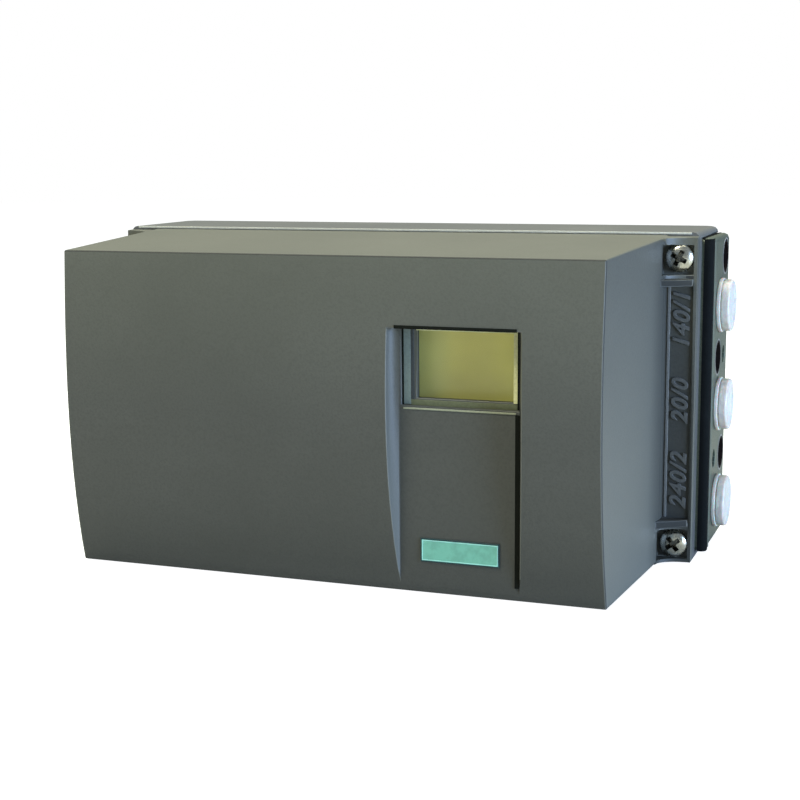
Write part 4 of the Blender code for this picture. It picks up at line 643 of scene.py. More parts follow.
# %% [markdown]
# The attribute called edge says how a face is painted: 1 where its edge is pale, partly wear
# and partly painted highlight, below 0 where it gets painted shade. Most copies have pale edges
# only. Cover and housing get rules of their own: painted shade along the front's top crease, on
# the ears' panels and ribs and by the recess, pale and dark lines on the front's side edges, and
# a painted highlight on the housing's rim.

# %% Rules for pale edges and painted shade
BEAD_X = (0.0829, 0.0837)
COVER_OUTLINE_Y = -0.092
COVER_OUTLINE_X = 0.0772
COVER_TOP_Z = 0.0425
RECESS_RIGHT = 0.0552
RECESS_STEP = -0.0930
EAR_X = 0.0800
EAR_RIM_X = 0.0900
EAR_Y = -0.048
RIB_LOW, RIB_HIGH = 0.0336, 0.0359
RIB_MIDDLE_Z = -0.0008
HOUSING_RIM_Y = -0.0375


def housing_wear(centre, normal, rounded):
    """The rim round the mouth is pale as a painted highlight, the other edges far less."""
    if not rounded:
        return 0.0
    return 1.0 if centre.y < HOUSING_RIM_Y else 0.12


def cover_wear(centre, normal, rounded):
    """Painted shade on top crease, ear panels, ribs, recess edge; painted highlight on side edges;
    pale rims.
    """
    wide, high = abs(centre.x), abs(centre.z - RIB_MIDDLE_Z)
    # Painted shade on the ears' ribs and on the panel beyond the bead.
    if EAR_X < wide < EAR_RIM_X and centre.y > EAR_Y and high < RIB_HIGH:
        if high > RIB_LOW:
            return -0.35 if rounded else -0.9
        return -0.42 if wide > BEAD_X[0] else 0.0
    # Painted shade line along the front's top crease.
    if centre.y < COVER_OUTLINE_Y and centre.z > COVER_TOP_Z and normal.z > 0.2:
        return -0.8
    # Painted shadow line beside the recess's right wall.
    if rounded and abs(centre.x - RECESS_RIGHT) < 0.0005 and centre.y < RECESS_STEP:
        return -1.0
    # A painted highlight and a painted shade line on the front's side edges.
    if centre.y < COVER_OUTLINE_Y and wide > COVER_OUTLINE_X and abs(normal.x) > 0.15:
        return 0.6 if abs(normal.x) < 0.5 else -0.7 if abs(normal.x) < 0.9 else 0.0
    # Other rounded edges are pale: partly wear, partly painted highlight.
    return 1.0 if rounded else 0.0


# %% [markdown]
# The front's outline is sharper on the real cover than on the solid, and its top rear edge
# lies a little below the housing's rim. The dressed copy is moved to match before it is
# bevelled: vertices near the outline are drawn in, and the top is tilted by under a
# millimetre. The belly of the front is a table of heights and depths.

# %% Cover and housing
# The front of the cover along Z: (height, depth) of its curved face.
BELLY = ((-0.0475, -0.09385), (-0.04633, -0.09411), (-0.0410, -0.09538), (-0.0345, -0.09667),
         (-0.0280, -0.09773), (-0.0215, -0.09857), (-0.0150, -0.09919), (-0.0085, -0.09963),
         (-0.0020, -0.09989), (0.0045, -0.09998), (0.0110, -0.09993), (0.0175, -0.09975),
         (0.0240, -0.09945), (0.0305, -0.09905), (0.0370, -0.09856), (0.0423, -0.0981),
         (0.0437, -0.09797))
COVER_BACK = -0.038
HALF_HEIGHT = 0.0475
TOP_SLOPE = 0.0667
SIDE_FLARE = 0.0775
SIDE_X, SIDE_X_DEPTH = 0.0783, -0.0969
OUTLINE_ZONE = 0.00135
OUTSIDE = 0.0002
CRISP = 0.3
TOP_DROP, TOP_LIFT = 0.0008, 0.0004
TILT_FROM, TILT_BLEND, TILT_LENGTH = 0.030, 0.012, 0.060
COVER_ROUNDING = 0.00028
HOUSING_ROUNDING = 0.00035


def belly_at(height):
    """Depth of the front at a height, between the two nearest rows."""
    for (low, first), (high, second) in zip(BELLY, BELLY[1:]):
        if height <= high:
            break
    return first + (second - first) * (height - low) / (high - low)


def crisp_outline(co):
    """Draw in the wide rounding of the front's outline, and set the lid's top into the rim."""
    side = SIDE_X + SIDE_FLARE * (co.y - SIDE_X_DEPTH)
    top = HALF_HEIGHT + TOP_SLOPE * (co.y - COVER_BACK)
    gaps = [side - abs(co.x), top - co.z, co.z + HALF_HEIGHT]
    depth = co.y - belly_at(co.z)
    near = [-OUTSIDE < gap < OUTLINE_ZONE for gap in gaps]
    if -OUTSIDE < depth < OUTLINE_ZONE and any(near):
        across, up, down = [gap * (1 - CRISP) if close else 0 for gap, close in zip(gaps, near)]
        co.z += up - down
        forward = co.y - belly_at(co.z) - depth * CRISP
        co.y -= forward
        co.x += math.copysign(across - SIDE_FLARE * forward, co.x) if near[0] else 0
        co.z -= TOP_SLOPE * forward if near[1] else 0
    if co.z > TILT_FROM:
        reach = min(1, (COVER_BACK - co.y) / TILT_LENGTH)
        share = min(1, (co.z - TILT_FROM) / TILT_BLEND)
        co.z += (TOP_LIFT * reach - TOP_DROP * (1 - reach)) * share


cover = soften("front_cover", COVER_ROUNDING, cover_wear, crisp_outline)
housing = soften("rear_housing", HOUSING_ROUNDING, housing_wear)
print("faces:", len(cover.data.polygons), "and", len(housing.data.polygons))

# %% [markdown]
# The other pieces need no reshaping, only the right width of rounding: wide on castings and
# mouldings, narrow on thin boards and gear teeth.

# %% The other soft pieces
SOFT = {
    0.00035: ["valve_manifold", "blanking_plug_1", "blanking_plug_2",
              "pilot_valve_1", "pilot_valve_2", "terminal_block"],
    0.0003: ["module_case", "gear_bracket", "potentiometer", "entry_seal_1", "entry_seal_2",
             "key_1", "key_2", "key_3", "window_pane", "display_glass"],
    0.0002: ["display_frame", "exhaust_silencer", "earth_screw", "clutch_wheel", "shaft_bush",
             "shaft_seal", "purge_selector", "restrictor_1", "restrictor_2", "terminal_strip",
             "cover_gasket", "block_gasket"],
    0.0001: ["feedback_shaft", "drive_gear", "pot_pinion", "shaft_circlip", "main_board",
             "key_board", "terminal_board", "window_seal", "bare_plate", "block_screw_1",
             "block_screw_2"],
}
faces = sum(len(soften(name, width).data.polygons) for width, names in SOFT.items()
            for name in names)
print("soft-edged:", sum(len(names) for names in SOFT.values()), "more pieces,", faces, "faces")

# %% [markdown]
# ## Bars and strips
# Much of what the eye takes for detail is a narrow strip: a seam, a window's frame, a lip in a
# gap. A strip is a box with tiny round edges, so one helper makes a piece from a list of
# boxes in metres.


# %% Bars helper
def bars(name, boxes, material, body, slot, rounding=0.00008):
    """One piece from boxes given as (low corner, high corner)."""
    bm = bmesh.new()
    for low, high in boxes:
        made = bmesh.ops.create_cube(bm, size=1)
        for vertex in made["verts"]:
            vertex.co = Vector([low[i] + (vertex.co[i] + 0.5) * (high[i] - low[i])
                                for i in range(3)])
    bmesh.ops.bevel(bm, geom=bm.edges[:], offset=rounding, offset_type="OFFSET", profile=0.5,
                    segments=2, affect="EDGES", clamp_overlap=True)
    item = built(bm, name)
    shade(item)
    return settle(item, material, body, slot)


# %% [markdown]
# The window sits in thin strips: dark lines and the pane's pale edge on the left, a dark line
# on top, a wide sill with a pale lip below, and a pale edge on the right beside the dark wall
# of the recess. The dark lines are painted shade along the gaps, with one more above the recess's
# top edge; the pale lines on the right and along the top are painted highlights. The right wall's
# painted shadow runs on down the recess as a dark line.

# %% Window frame and painted shadow line
STEP_Y = -0.0926
STEP_FRONT = -0.0929
SEAL_Y = -0.0911
FLOOR_Y = -0.0944
TOP_FRONT = -0.09958
STRIPS = {
    # Painted shade lines round the window, the last one above the recess's top edge.
    "window_lines": (trim_dark, [
        ((0.0218, STEP_FRONT, 0.0249), (0.0552, STEP_Y, 0.0254)),
        ((0.0540, STEP_FRONT, 0.0036), (0.0553, STEP_Y, 0.0249)),
        ((0.0217, STEP_FRONT, 0.0038), (0.0224, STEP_Y, 0.0249)),
        ((0.0221, TOP_FRONT, 0.0251), (0.0556, TOP_FRONT + 0.0008, 0.0260))]),
    "window_inner_line": (frame_plastic, [
        ((0.0244, STEP_FRONT, 0.0055), (0.0253, STEP_Y, 0.0249))]),
    "window_sill": (trim_sill, [((0.0244, STEP_FRONT, 0.0037), (0.0540, STEP_Y, 0.0054))]),
    "window_lip": (trim_lip, [((0.0228, FLOOR_Y - 0.0003, 0.0030), (0.0541, FLOOR_Y, 0.0035))]),
    "window_edge": (trim_edge, [((0.0224, STEP_FRONT, 0.0040), (0.0244, STEP_Y, 0.0249))]),
    # Painted highlights on the right and top of the display.
    "window_light": (trim_highlight, [
        ((0.0529, STEP_FRONT, 0.0056), (0.0540, SEAL_Y, 0.0247)),
        ((0.0260, STEP_FRONT + 0.0002, 0.0240), (0.0529, SEAL_Y, 0.0244))]),
    # Painted shadow of the recess's right wall.
    "recess_seam": (trim_dark, [
        ((0.0539, FLOOR_Y - 0.0003, -0.0438), (0.0552, FLOOR_Y, 0.0029))]),
}
for name, (material, boxes) in STRIPS.items():
    bars(name, boxes, material, "cover", "case_plastic")
print("strips:", ", ".join(STRIPS))

# %% [markdown]
# The plate in the recess has a thin dark outline and a pale raised rim. Both are four bars
# round a rectangle, so one function works them out from the plate's own box.

# %% Plate outline and rim
low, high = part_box("bare_plate")
OUTLINE = 0.0004
OUTLINE_SINK = 0.00005
RIM = 0.00028
RIM_RAISE = 0.00008
FINE_ROUNDING = 0.00004


def ring_of_bars(low_x, high_x, low_z, high_z, width, front, back):
    """Four bars inside a rectangle in the XZ plane."""
    return [((low_x, front, low_z), (high_x, back, low_z + width)),
            ((low_x, front, high_z - width), (high_x, back, high_z)),
            ((low_x, front, low_z + width), (low_x + width, back, high_z - width)),
            ((high_x - width, front, low_z + width), (high_x, back, high_z - width))]


for name, margin, width, front, material in (
        ("plate_outline", OUTLINE, OUTLINE, low.y + OUTLINE_SINK, enamel_edge),
        ("plate_rim", 0, RIM, low.y - RIM_RAISE, enamel_rim)):
    bars(name, ring_of_bars(low.x - margin, high.x + margin, low.z - margin, high.z + margin,
                            width, front, high.y), material, "cover", "plate", FINE_ROUNDING)
print("plate in mm:", [round(value * 1000, 1) for value in high - low])

# %% [markdown]
# On each ear a fine bead runs along the inner edge of the sunk panel; its pale tone is a painted
# highlight. At the block, a near-black strip of painted shade fills the gap behind the ear's rim.
# It follows the block's front and chamfer, so it is a bent strip: a flat outline drawn in X and Y
# and pulled along Z.

# %% Beads and painted shade strip
PANEL_Y = -0.0404
PANEL_Z = (-0.0345, 0.0329)
BAR_ROUNDING = 0.0001
bars("panel_beads", [((low_x, PANEL_Y - 0.0003, PANEL_Z[0]), (high_x, PANEL_Y, PANEL_Z[1]))
                     for low_x, high_x in (BEAD_X, (-BEAD_X[1], -BEAD_X[0]))],
     bead_highlight, "cover", "case_plastic", BAR_ROUNDING)


def arc(centre, radius, start, end, steps):
    """Points of a round between two angles in degrees, for a profile's corner."""
    turns = [math.radians(start + (end - start) * step / steps) for step in range(steps + 1)]
    return [(centre[0] + radius * math.cos(a), centre[1] + radius * math.sin(a)) for a in turns]


def prism(bm, outline, low, high):
    """A closed prism of an outline in X and Y, between two heights."""
    rings = [[bm.verts.new((x, y, z)) for x, y in outline] for z in (low, high)]
    for step in range(len(outline)):
        after = (step + 1) % len(outline)
        bm.faces.new((rings[0][step], rings[0][after], rings[1][after], rings[1][step]))
    bm.faces.new(rings[0][::-1])
    bm.faces.new(rings[1])


BLOCK_ROUND = (0.0925, -0.0320)
LIP = ([(0.0917, -0.0337)] + arc(BLOCK_ROUND, 0.0017, -90, 0, 6) + [(0.0942, -0.0304),
       (0.0939, -0.0304)] + arc(BLOCK_ROUND, 0.0014, 0, -90, 6) + [(0.0917, -0.0334)])
# A near-black strip of painted shade round the block's front and chamfer, and a thin one along its
# top.
bm = bmesh.new()
prism(bm, LIP, -0.0459, 0.0454)
prism(bm, [(0.0911, -0.0330), (0.0917, -0.0330), (0.0917, -0.0030), (0.0911, -0.0030)],
      0.0454, 0.0456)
bmesh.ops.recalc_face_normals(bm, faces=bm.faces)
settle(built(bm, "gap_lip"), gap_shade, "case", "rubber")
# A pale strip on the block's edge: a painted highlight.
bars("block_edge", [((0.0939, -0.0304, -0.0455), (0.0942, -0.0284, 0.0450))],
     block_edge_highlight, "case", "anodised", BAR_ROUNDING)
# A pale strip along the housing's front rim: a painted highlight.
bars("rim_edge", [((-0.0888, -0.0381, 0.0469), (0.0888, -0.0374, 0.0475))],
     rim_highlight, "case", "case_plastic", BAR_ROUNDING)
print("beads and lip are in place")

# %% [markdown]
# ## Turned pieces
# Screws, caps and domes are all a profile turned about an axis. A helper takes points of
# radius and height and spins them about Z. Where the radius is 0 they become one pole, and a
# profile that starts off the axis closes to a ring.


# %% Turning helper
def turned(name, profile, segments):
    """A closed solid from (radius, height) points: pole to pole, or a ring off the axis."""
    bm = bmesh.new()
    steps = [math.tau * step / segments for step in range(segments)]
    rings = []
    for radius, height in profile:
        rings.append([bm.verts.new((radius * math.cos(a), radius * math.sin(a), height))
                      for a in (steps if radius else [0])])
    if profile[0][0] > 0:
        rings.append(rings[0])
    for first, second in zip(rings, rings[1:]):
        for step in range(segments):
            after = (step + 1) % segments
            corners = [first[step % len(first)], first[after % len(first)],
                       second[after % len(second)], second[step % len(second)]]
            bm.faces.new(list(dict.fromkeys(corners)))
    bmesh.ops.recalc_face_normals(bm, faces=bm.faces)
    return built(bm, name)


# %% [markdown]
# ## The cover screws
# Four nickelled pan-head screws hold the cover. A screw repeats, so one is made well, with a
# domed head and a tapered cross recess, and Geometry Nodes sets it at every place, each
# turned by its own chance angle.


# %% One screw
SCREW_RADIUS = 0.0038
SCREW_HEIGHT = 0.0026
CROSS_ARM = 0.0025
HEAD_WALL = 0.62
DOME_POWER = 0.7
ABOVE = 0.0005


def wedge(top, foot, depth, turn):
    """A tapered bar through the Z axis: (half length, half width) at the top and the foot."""
    bm = bmesh.new()
    bmesh.ops.create_cube(bm, size=2)
    for vertex in bm.verts:
        half, height = (top, ABOVE) if vertex.co.z > 0 else (foot, -depth)
        vertex.co = Vector((vertex.co.x * half[0], vertex.co.y * half[1], height))
    item = built(bm, "wedge")
    item.data.transform(Matrix.Rotation(turn, 4, "Z"))
    return item


def carve(item, tool):
    """Cut a tool out of an object, and throw the tool away."""
    modifier = item.modifiers.new("carve", "BOOLEAN")
    modifier.operation = "DIFFERENCE"
    modifier.solver = "EXACT"
    modifier.object = tool
    bake(item)
    bpy.data.objects.remove(tool, do_unlink=True)


def pan_screw(name, radius, height, arm):
    """A pan head on Z with its top at 0, its seat at -height and a cross recess."""
    wall = -height * HEAD_WALL
    profile = [(0, -height), (radius, -height), (radius, wall)]
    for turn in [math.pi / 16 * step for step in range(1, 8)]:
        profile.append((radius * math.cos(turn) ** DOME_POWER, wall * (1 - math.sin(turn))))
    item = turned(name, profile + [(0, 0)], 40)
    for turn in (0, math.pi / 2):
        carve(item, wedge((arm, arm * 0.27), (arm * 0.5, arm * 0.17), height * 0.85, turn))
    carve(item, wedge((arm * 0.46, arm * 0.46), (arm * 0.2, arm * 0.2), height * 0.8, math.pi / 4))
    bm = bmesh.new()
    bm.from_mesh(item.data)
    bmesh.ops.remove_doubles(bm, verts=bm.verts, dist=MERGE)
    # Faces inside the cross recess are marked for painted shade.
    recess_shade = bm.faces.layers.float.new("recess")
    for face in bm.faces:
        centre = face.calc_center_median()
        out = math.hypot(centre.x, centre.y)
        reach = min(1, (out / radius) ** (1 / DOME_POWER))
        surface = wall * (1 - math.sqrt(1 - reach * reach))
        inside = -height * 0.95 < centre.z < surface - 0.00025
        face[recess_shade] = 1.0 if inside and out < arm else 0.0
    bm.to_mesh(item.data)
    bm.free()
    shade(item)
    return item


screw_model = pan_screw("screw_model", SCREW_RADIUS, SCREW_HEIGHT, CROSS_ARM)
print("screw faces:", len(screw_model.data.polygons))

# %% [markdown]
# The node tree is small: an instance of the model on every point, a chance turn about its
# own axis, then Realize Instances and Set Material. Model, scale, seed and material are its
# named inputs, so the small screws inside the case use the same tree.


# %% Geometry Nodes: models on points
def geometry_group(name, inputs):
    """A geometry node group: {socket name: type} inputs, and geometry and material always."""
    group = bpy.data.node_groups.new(name, "GeometryNodeTree")
    sockets = {"Geometry": "Geometry", **inputs, "Material": "Material"}
    for socket, kind in sockets.items():
        group.interface.new_socket(socket, in_out="INPUT", socket_type="NodeSocket" + kind)
    group.interface.new_socket("Geometry", in_out="OUTPUT", socket_type="NodeSocketGeometry")
    return group, group.nodes.new("NodeGroupInput").outputs, group.nodes.new("NodeGroupOutput")


def close_group(group, entry, leave, geometry):
    """End a tree the same way each time: real geometry with one material."""
    real = add(group, "GeometryNodeRealizeInstances", {0: geometry})
    painted = add(group, "GeometryNodeSetMaterial", {"Geometry": real,
                                                     "Material": entry["Material"]})
    fill(group, leave, {0: painted})


def rotation(group, angles):
    return add(group, "FunctionNodeEulerToRotation", {0: angles})


models, entry, leave = geometry_group("models on points", {
    "Model": "Object", "Scale": "Float", "Tilt": "Vector", "Spin": "Float", "Seed": "Int"})
model = add(models, "GeometryNodeObjectInfo", {"Object": entry["Model"]}, "Geometry")
chance = add(models, "FunctionNodeRandomValue", {3: entry["Spin"], "Seed": entry["Seed"]}, 1)
spin = add(models, "ShaderNodeCombineXYZ", {"Z": chance})
both_turns = models.nodes.new("FunctionNodeRotateRotation")
both_turns.rotation_space = "LOCAL"
fill(models, both_turns, {"Rotation": rotation(models, entry["Tilt"]),
                          "Rotate By": rotation(models, spin)})
placed = add(models, "GeometryNodeInstanceOnPoints", {
    "Points": entry["Geometry"], "Instance": model, "Rotation": both_turns.outputs[0],
    "Scale": entry["Scale"]})
close_group(models, entry, leave, placed)
print("tree:", models.name, "with", len(models.nodes), "nodes")

# %% [markdown]
# To use a tree, bare points are made where the things go, the tree runs on them as a
# modifier, and the result is baked before the piece is settled on its body. One function
# does that for the screws here and for every row and thread further down.

# %% Cover screws
FACING_FRONT = (math.radians(90), 0, 0)
FACING_RIGHT = (0, math.radians(90), 0)
COVER_SCREW_SCALE = 1.07


def grow(name, places, group, material, body, slot, replaced=(), **values):
    """Run a tree on points; its inputs are set by socket identifier before it is baked."""
    mesh = bpy.data.meshes.new(name)
    mesh.from_pydata([tuple(place) for place in places], [], [])
    item = new_object(name, mesh)
    modifier = item.modifiers.new(group.name, "NODES")
    modifier.node_group = group
    values["Material"] = material
    for socket in group.interface.items_tree:
        if socket.in_out == "INPUT" and socket.name in values:
            modifier[socket.identifier] = values[socket.name]
    bake(item)
    settle(item, material, body, slot, *replaced)
    print(name + ":", len(places), "places,", len(item.data.polygons), "faces")


def head_places(names):
    """The middle of each screw's head, at its front end."""
    places = []
    for name in names:
        low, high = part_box(name)
        place = (low + high) / 2
        place.y = low.y
        places.append(place)
    return places


def numbered(kind, count):
    return [f"{kind}_{number}" for number in range(1, count + 1)]


cover_names = numbered("cover_screw", 4)
grow("cover_screws", head_places(cover_names), models, steel, "cover", "steel", cover_names,
     Model=screw_model, Scale=COVER_SCREW_SCALE, Tilt=FACING_FRONT, Spin=math.tau, Seed=4)

# %% [markdown]
# The same tree sets the ten small screws of the boards, the bracket and the air block.

# %% Small screws
small_names = numbered("module_screw", 4)
for kind in ("bracket_screw", "manifold_screw", "terminal_board_screw"):
    small_names += numbered(kind, 2)
low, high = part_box("module_screw_1")
small_scale = (high.x - low.x) / (2 * SCREW_RADIUS)
grow("small_screws", head_places(small_names), models, steel, "case", "steel", small_names,
     Model=screw_model, Scale=small_scale, Tilt=FACING_FRONT, Spin=math.tau, Seed=9)

# %% [markdown]
# ## The port caps
# A milky cap is pushed into each air port: a flange against the block, a ring groove, a short
# wall with a round edge and a shallow dish, all turned from one profile. The three caps are
# three pieces because each rides on a body of its own and pulls out alone.

# %% The three caps
low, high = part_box("port_plug_1")
CAP_RADIUS = (high.z - low.z) / 2
block_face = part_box("terminal_block")[1].x
CAP_HEIGHT = high.x - block_face
STEM_RADIUS = CAP_RADIUS - 0.0020
STEM_BORE = STEM_RADIUS - 0.0015
STEM_LENGTH = block_face - low.x
DISH = 0.0004
FLANGE = 0.0011
GROOVE = 0.0004


def cap_profile():
    """From the stem's hollow inside, round the flange and the wall, to the dish."""
    wall = CAP_RADIUS - 0.0004
    profile = [(0, -0.0002), (STEM_BORE, -0.0002), (STEM_BORE, -STEM_LENGTH),
               (STEM_RADIUS - 0.0003, -STEM_LENGTH), (STEM_RADIUS, -STEM_LENGTH + 0.0006),
               (STEM_RADIUS, 0.00001)]
    profile += arc((CAP_RADIUS - 0.0003, 0.0003), 0.0003, -90, 0, 3)
    profile += arc((CAP_RADIUS - 0.0002, FLANGE - 0.0002), 0.0002, 0, 90, 3)
    profile += [(wall - 0.0004, FLANGE), (wall - 0.0004, FLANGE + GROOVE)]
    profile += arc((wall - 0.0001, FLANGE + GROOVE + 0.0001), 0.0001, -90, 0, 2)
    profile += arc((wall - 0.0007, CAP_HEIGHT - 0.0007), 0.0007, 0, 90, 6)
    profile += [(wall - 0.0014, CAP_HEIGHT), (wall - 0.0018, CAP_HEIGHT - DISH),
                (0.001, CAP_HEIGHT - DISH), (0.0007, CAP_HEIGHT - DISH + 0.0002),
                (0, CAP_HEIGHT - DISH + 0.00025)]
    return profile


for number in (1, 2, 3):
    name = f"port_plug_{number}"
    low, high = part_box(name)
    cap = turned(f"port_cap_{number}", cap_profile(), 56)
    centre = (low + high) / 2
    place = Matrix.Translation((block_face, centre.y, centre.z))
    cap.data.transform(place @ Matrix.Rotation(math.radians(90), 4, "Y"))
    shade(cap)
    settle(cap, port_plastic, f"plug_{number}", "plug", name)
print("cap radius in mm:", round(CAP_RADIUS * 1000, 2), "height:", round(CAP_HEIGHT * 1000, 2))

# %% [markdown]
# ## Raised marks
# Both ears carry raised marks, which are plain numbers. They are text, sheared like moulded
# characters and made a mesh with a small bevel, then turned to read upwards and set on the
# ear's sunk panel.

# %% Marks
PANEL_X = 0.0871
MARK_SIZE = 0.0064
MARK_RAISE = 0.0004
MARKS = (("140/1", 0.0228), ("20/0", -0.0005), ("240/2", -0.0236))


def raised_text(name, words, size, depth):
    """Text as a mesh centred on the origin, standing up along Z from 0."""
    curve = bpy.data.curves.new(name, "FONT")
    curve.body = words
    curve.size = size
    curve.shear = 0.28
    curve.space_character = 1.12
    curve.align_x = "CENTER"
    curve.align_y = "CENTER"
    curve.extrude = depth
    curve.offset = 0.0001
    curve.bevel_depth = 0.0001
    curve.bevel_resolution = 1
    curve.resolution_u = 5
    letters = new_object(name, curve)
    graph = bpy.context.evaluated_depsgraph_get()
    mesh = bpy.data.meshes.new_from_object(letters.evaluated_get(graph))
    bpy.data.objects.remove(letters, do_unlink=True)
    return mesh


def text_piece(name, entries, material, body, slot):
    """One piece from (words, size, raise, placing matrix) entries."""
    bm = bmesh.new()
    for words, size, depth, placing in entries:
        mesh = raised_text("words", words, size, depth)
        mesh.transform(placing)
        bm.from_mesh(mesh)
    bmesh.ops.remove_doubles(bm, verts=bm.verts, dist=0.0000005)
    item = settle(built(bm, name), material, body, slot)
    print(name + ":", len(entries), "words,", len(item.data.polygons), "faces")


READING_UP = Matrix(((0, -1, 0), (0, 0, -1), (1, 0, 0))).to_4x4()
UPRIGHT = Matrix(((1, 0, 0), (0, 0, -1), (0, 1, 0))).to_4x4()
entries = [(words, MARK_SIZE, MARK_RAISE, Matrix.Translation((side * PANEL_X, PANEL_Y, height))
            @ READING_UP) for side in (1, -1) for words, height in MARKS]
# The marks' paler tone is a painted highlight.
text_piece("port_marks", entries, mark_plastic, "cover", "case_plastic")

# %% [markdown]
# ## Threads
# The three large holes of the block and the four rear mounting holes are tapped. A thread is
# a ridge that winds inwards, so a spiral curve with a three-sided profile is enough. The tree
# takes radius, depth and turns, and sets the winding at every hole.

# %% Geometry Nodes: thread
thread, entry, leave = geometry_group("thread in a hole", {
    "Radius": "Float", "Depth": "Float", "Turns": "Float", "Ridge": "Float", "Tilt": "Vector"})
spiral = add(thread, "GeometryNodeCurveSpiral", {
    "Resolution": 28, "Start Radius": entry["Radius"], "End Radius": entry["Radius"],
    "Rotations": entry["Turns"], "Height": entry["Depth"]})
ridge = add(thread, "GeometryNodeCurvePrimitiveCircle", {"Resolution": 3,
                                                         "Radius": entry["Ridge"]})
wound = add(thread, "GeometryNodeCurveToMesh", {"Curve": spiral, "Profile Curve": ridge,
                                                "Fill Caps": True})
holes = add(thread, "GeometryNodeInstanceOnPoints", {
    "Points": entry["Geometry"], "Instance": wound, "Rotation": rotation(thread, entry["Tilt"])})
close_group(thread, entry, leave, holes)

SOCKETS = ((-0.0090, 0.0390), (-0.0189, 0.0098), (-0.0092, -0.0207))
SOCKET_RADIUS = 0.0046
THREAD_DEPTH = 0.0092
# The threads get the painted shade of the linings.
grow("block_threads", [(block_face - 0.0006, y, z) for y, z in SOCKETS], thread, socket_shade,
     "case", "anodised", Radius=SOCKET_RADIUS - 0.0003, Depth=THREAD_DEPTH - 0.0004, Turns=9.0,
     Ridge=0.0003, Tilt=(0, math.radians(-90), 0))

# %% [markdown]
# Each of the three large holes also has a dark lining, painted shade tinted reddish brown, and a
# bright ring round its mouth, a painted highlight. Both are turned profiles that give how much
# wider than the hole they are, and the tree for models sets them.

# %% Linings and rims
LINING = ((-SOCKET_RADIUS, -0.0098), (-0.00004, -0.0098), (-0.00004, 0.00001),
          (0.0004, 0.00001), (0.0004, 0.00005), (-0.0003, 0.00005),
          (-0.0003, -0.0096), (-SOCKET_RADIUS, -0.0096))
RING = ((0.0004, 0.00001), (0.0009, 0.00001), (0.0009, 0.00006), (0.0004, 0.00010))
for name, profile, material in (("socket_linings", LINING, socket_shade),
                                ("socket_rims", RING, socket_rim_highlight)):
    model = turned(name + "_model", [(SOCKET_RADIUS + wider, height)
                                     for wider, height in profile], 32)
    grow(name, [(block_face, y, z) for y, z in SOCKETS], models, material, "case", "anodised",
         Model=model, Scale=1.0, Tilt=FACING_RIGHT, Spin=0.0, Seed=1)
    bpy.data.objects.remove(model, do_unlink=True)

# %% [markdown]
# The housing's four mounting holes have brass sleeves, cut with a finer thread.

# %% Rear threads
SHAFT_X = 0.016
MOUNT_HOLES = [(SHAFT_X + x, z) for x in (-0.025, 0.025) for z in (-0.0125, 0.0125)]
grow("rear_threads", [(x, -0.0003, z) for x, z in MOUNT_HOLES], thread, brass, "case", "brass",
     Radius=0.0025, Depth=0.0072, Turns=8.0, Ridge=0.00028, Tilt=FACING_FRONT)

# %% [markdown]
# ## Parts on the boards
# With the cover off, the boards show rows of small parts. The tree makes a line of points and
# sets a small box on each, scaled by a random value. Its seed is fixed, so that the result is
# the same each run.

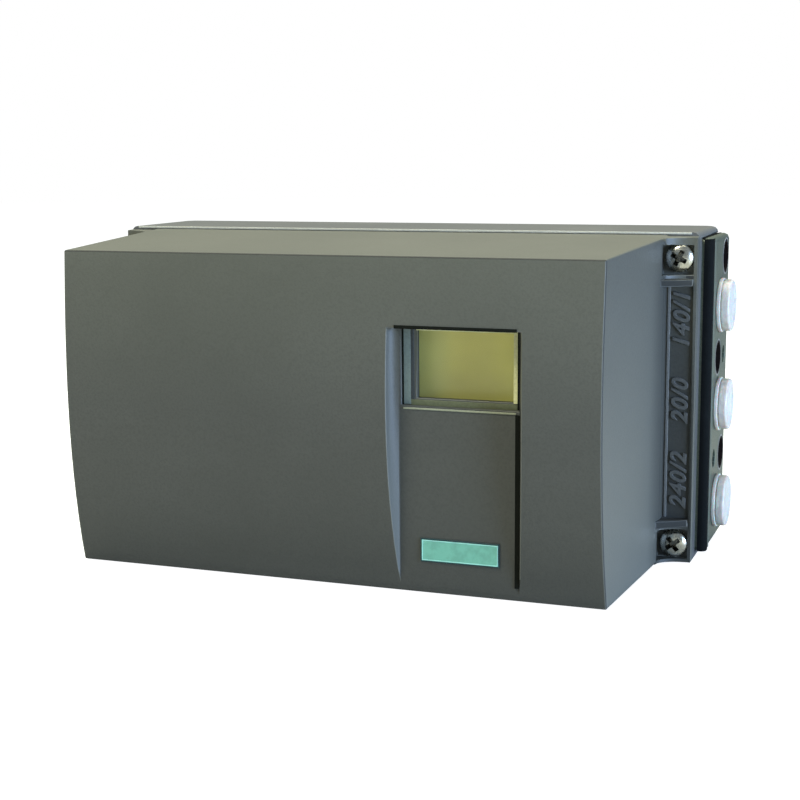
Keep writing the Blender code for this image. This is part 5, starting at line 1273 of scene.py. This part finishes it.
# %% Geometry Nodes: rows of parts
rows, entry, leave = geometry_group("rows of parts", {
    "Count": "Int", "Step": "Vector", "Size": "Vector", "Smallest": "Float", "Seed": "Int"})
line = add(rows, "GeometryNodeMeshLine", {"Count": entry["Count"], "Offset": entry["Step"]})
starts = add(rows, "GeometryNodeInstanceOnPoints", {"Points": entry["Geometry"],
                                                    "Instance": line})
spots = add(rows, "GeometryNodeRealizeInstances", {0: starts})
box = add(rows, "GeometryNodeMeshCube", {"Size": entry["Size"]})
chance = add(rows, "FunctionNodeRandomValue", {2: entry["Smallest"], 3: 1.0,
                                               "Seed": entry["Seed"]}, 1)
scale = add(rows, "ShaderNodeCombineXYZ", {"X": chance, "Y": 1.0, "Z": chance})
placed = add(rows, "GeometryNodeInstanceOnPoints", {"Points": spots, "Instance": box,
                                                    "Scale": scale})
close_group(rows, entry, leave, placed)

BOARD_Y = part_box("main_board")[0].y
STRIP_BOARD_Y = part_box("terminal_board")[0].y
CHIP_Z = 0.0382
LEAD_Z = (0.0357, 0.0404)
grow("board_chips", [(-0.0055, BOARD_Y - 0.0006, z) for z in (CHIP_Z, -CHIP_Z)], rows,
     chip_resin, "case", "board", Count=9, Step=(0.0052, 0, 0), Size=(0.0040, 0.0012, 0.0036),
     Smallest=0.55, Seed=3)
grow("board_leads", [(-0.0072, BOARD_Y - 0.0003, side * z) for side in (1, -1) for z in LEAD_Z],
     rows, tin, "case", "board", Count=38, Step=(0.0013, 0, 0), Size=(0.0006, 0.0006, 0.0010),
     Smallest=0.7, Seed=5)
grow("terminal_parts", [(-0.0600, STRIP_BOARD_Y - 0.0004, -0.0168)], rows, chip_resin, "case",
     "board", Count=10, Step=(0.0030, 0, 0), Size=(0.0018, 0.0008, 0.0012), Smallest=0.6, Seed=8)

# %% [markdown]
# The three keys and the six terminals carry plain numbers.

# %% Numbers inside
CASE_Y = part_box("module_case")[0].y
entries = []
for number in (1, 2, 3):
    low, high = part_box(f"key_{number}")
    spot = ((low.x + high.x) / 2, CASE_Y, high.z + 0.0024)
    entries.append((str(number), 0.0030, 0.0001, Matrix.Translation(spot) @ UPRIGHT))
text_piece("key_numbers", entries, rubber, "case", "grey")
low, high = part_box("terminal_strip")
pitch = (high.x - low.x) / 6
entries = [(str(number + 1), 0.0026, 0.00005, Matrix.Translation(
    (low.x + pitch * (number + 0.5), STRIP_BOARD_Y, high.z + 0.0026)) @ UPRIGHT)
    for number in range(6)]
text_piece("terminal_numbers", entries, tin, "case", "board")

# %% [markdown]
# ## Clearing up
# The model screw, whose copies now stand in the scene, is removed.

# %% Finish
bpy.data.objects.remove(screw_model, do_unlink=True)
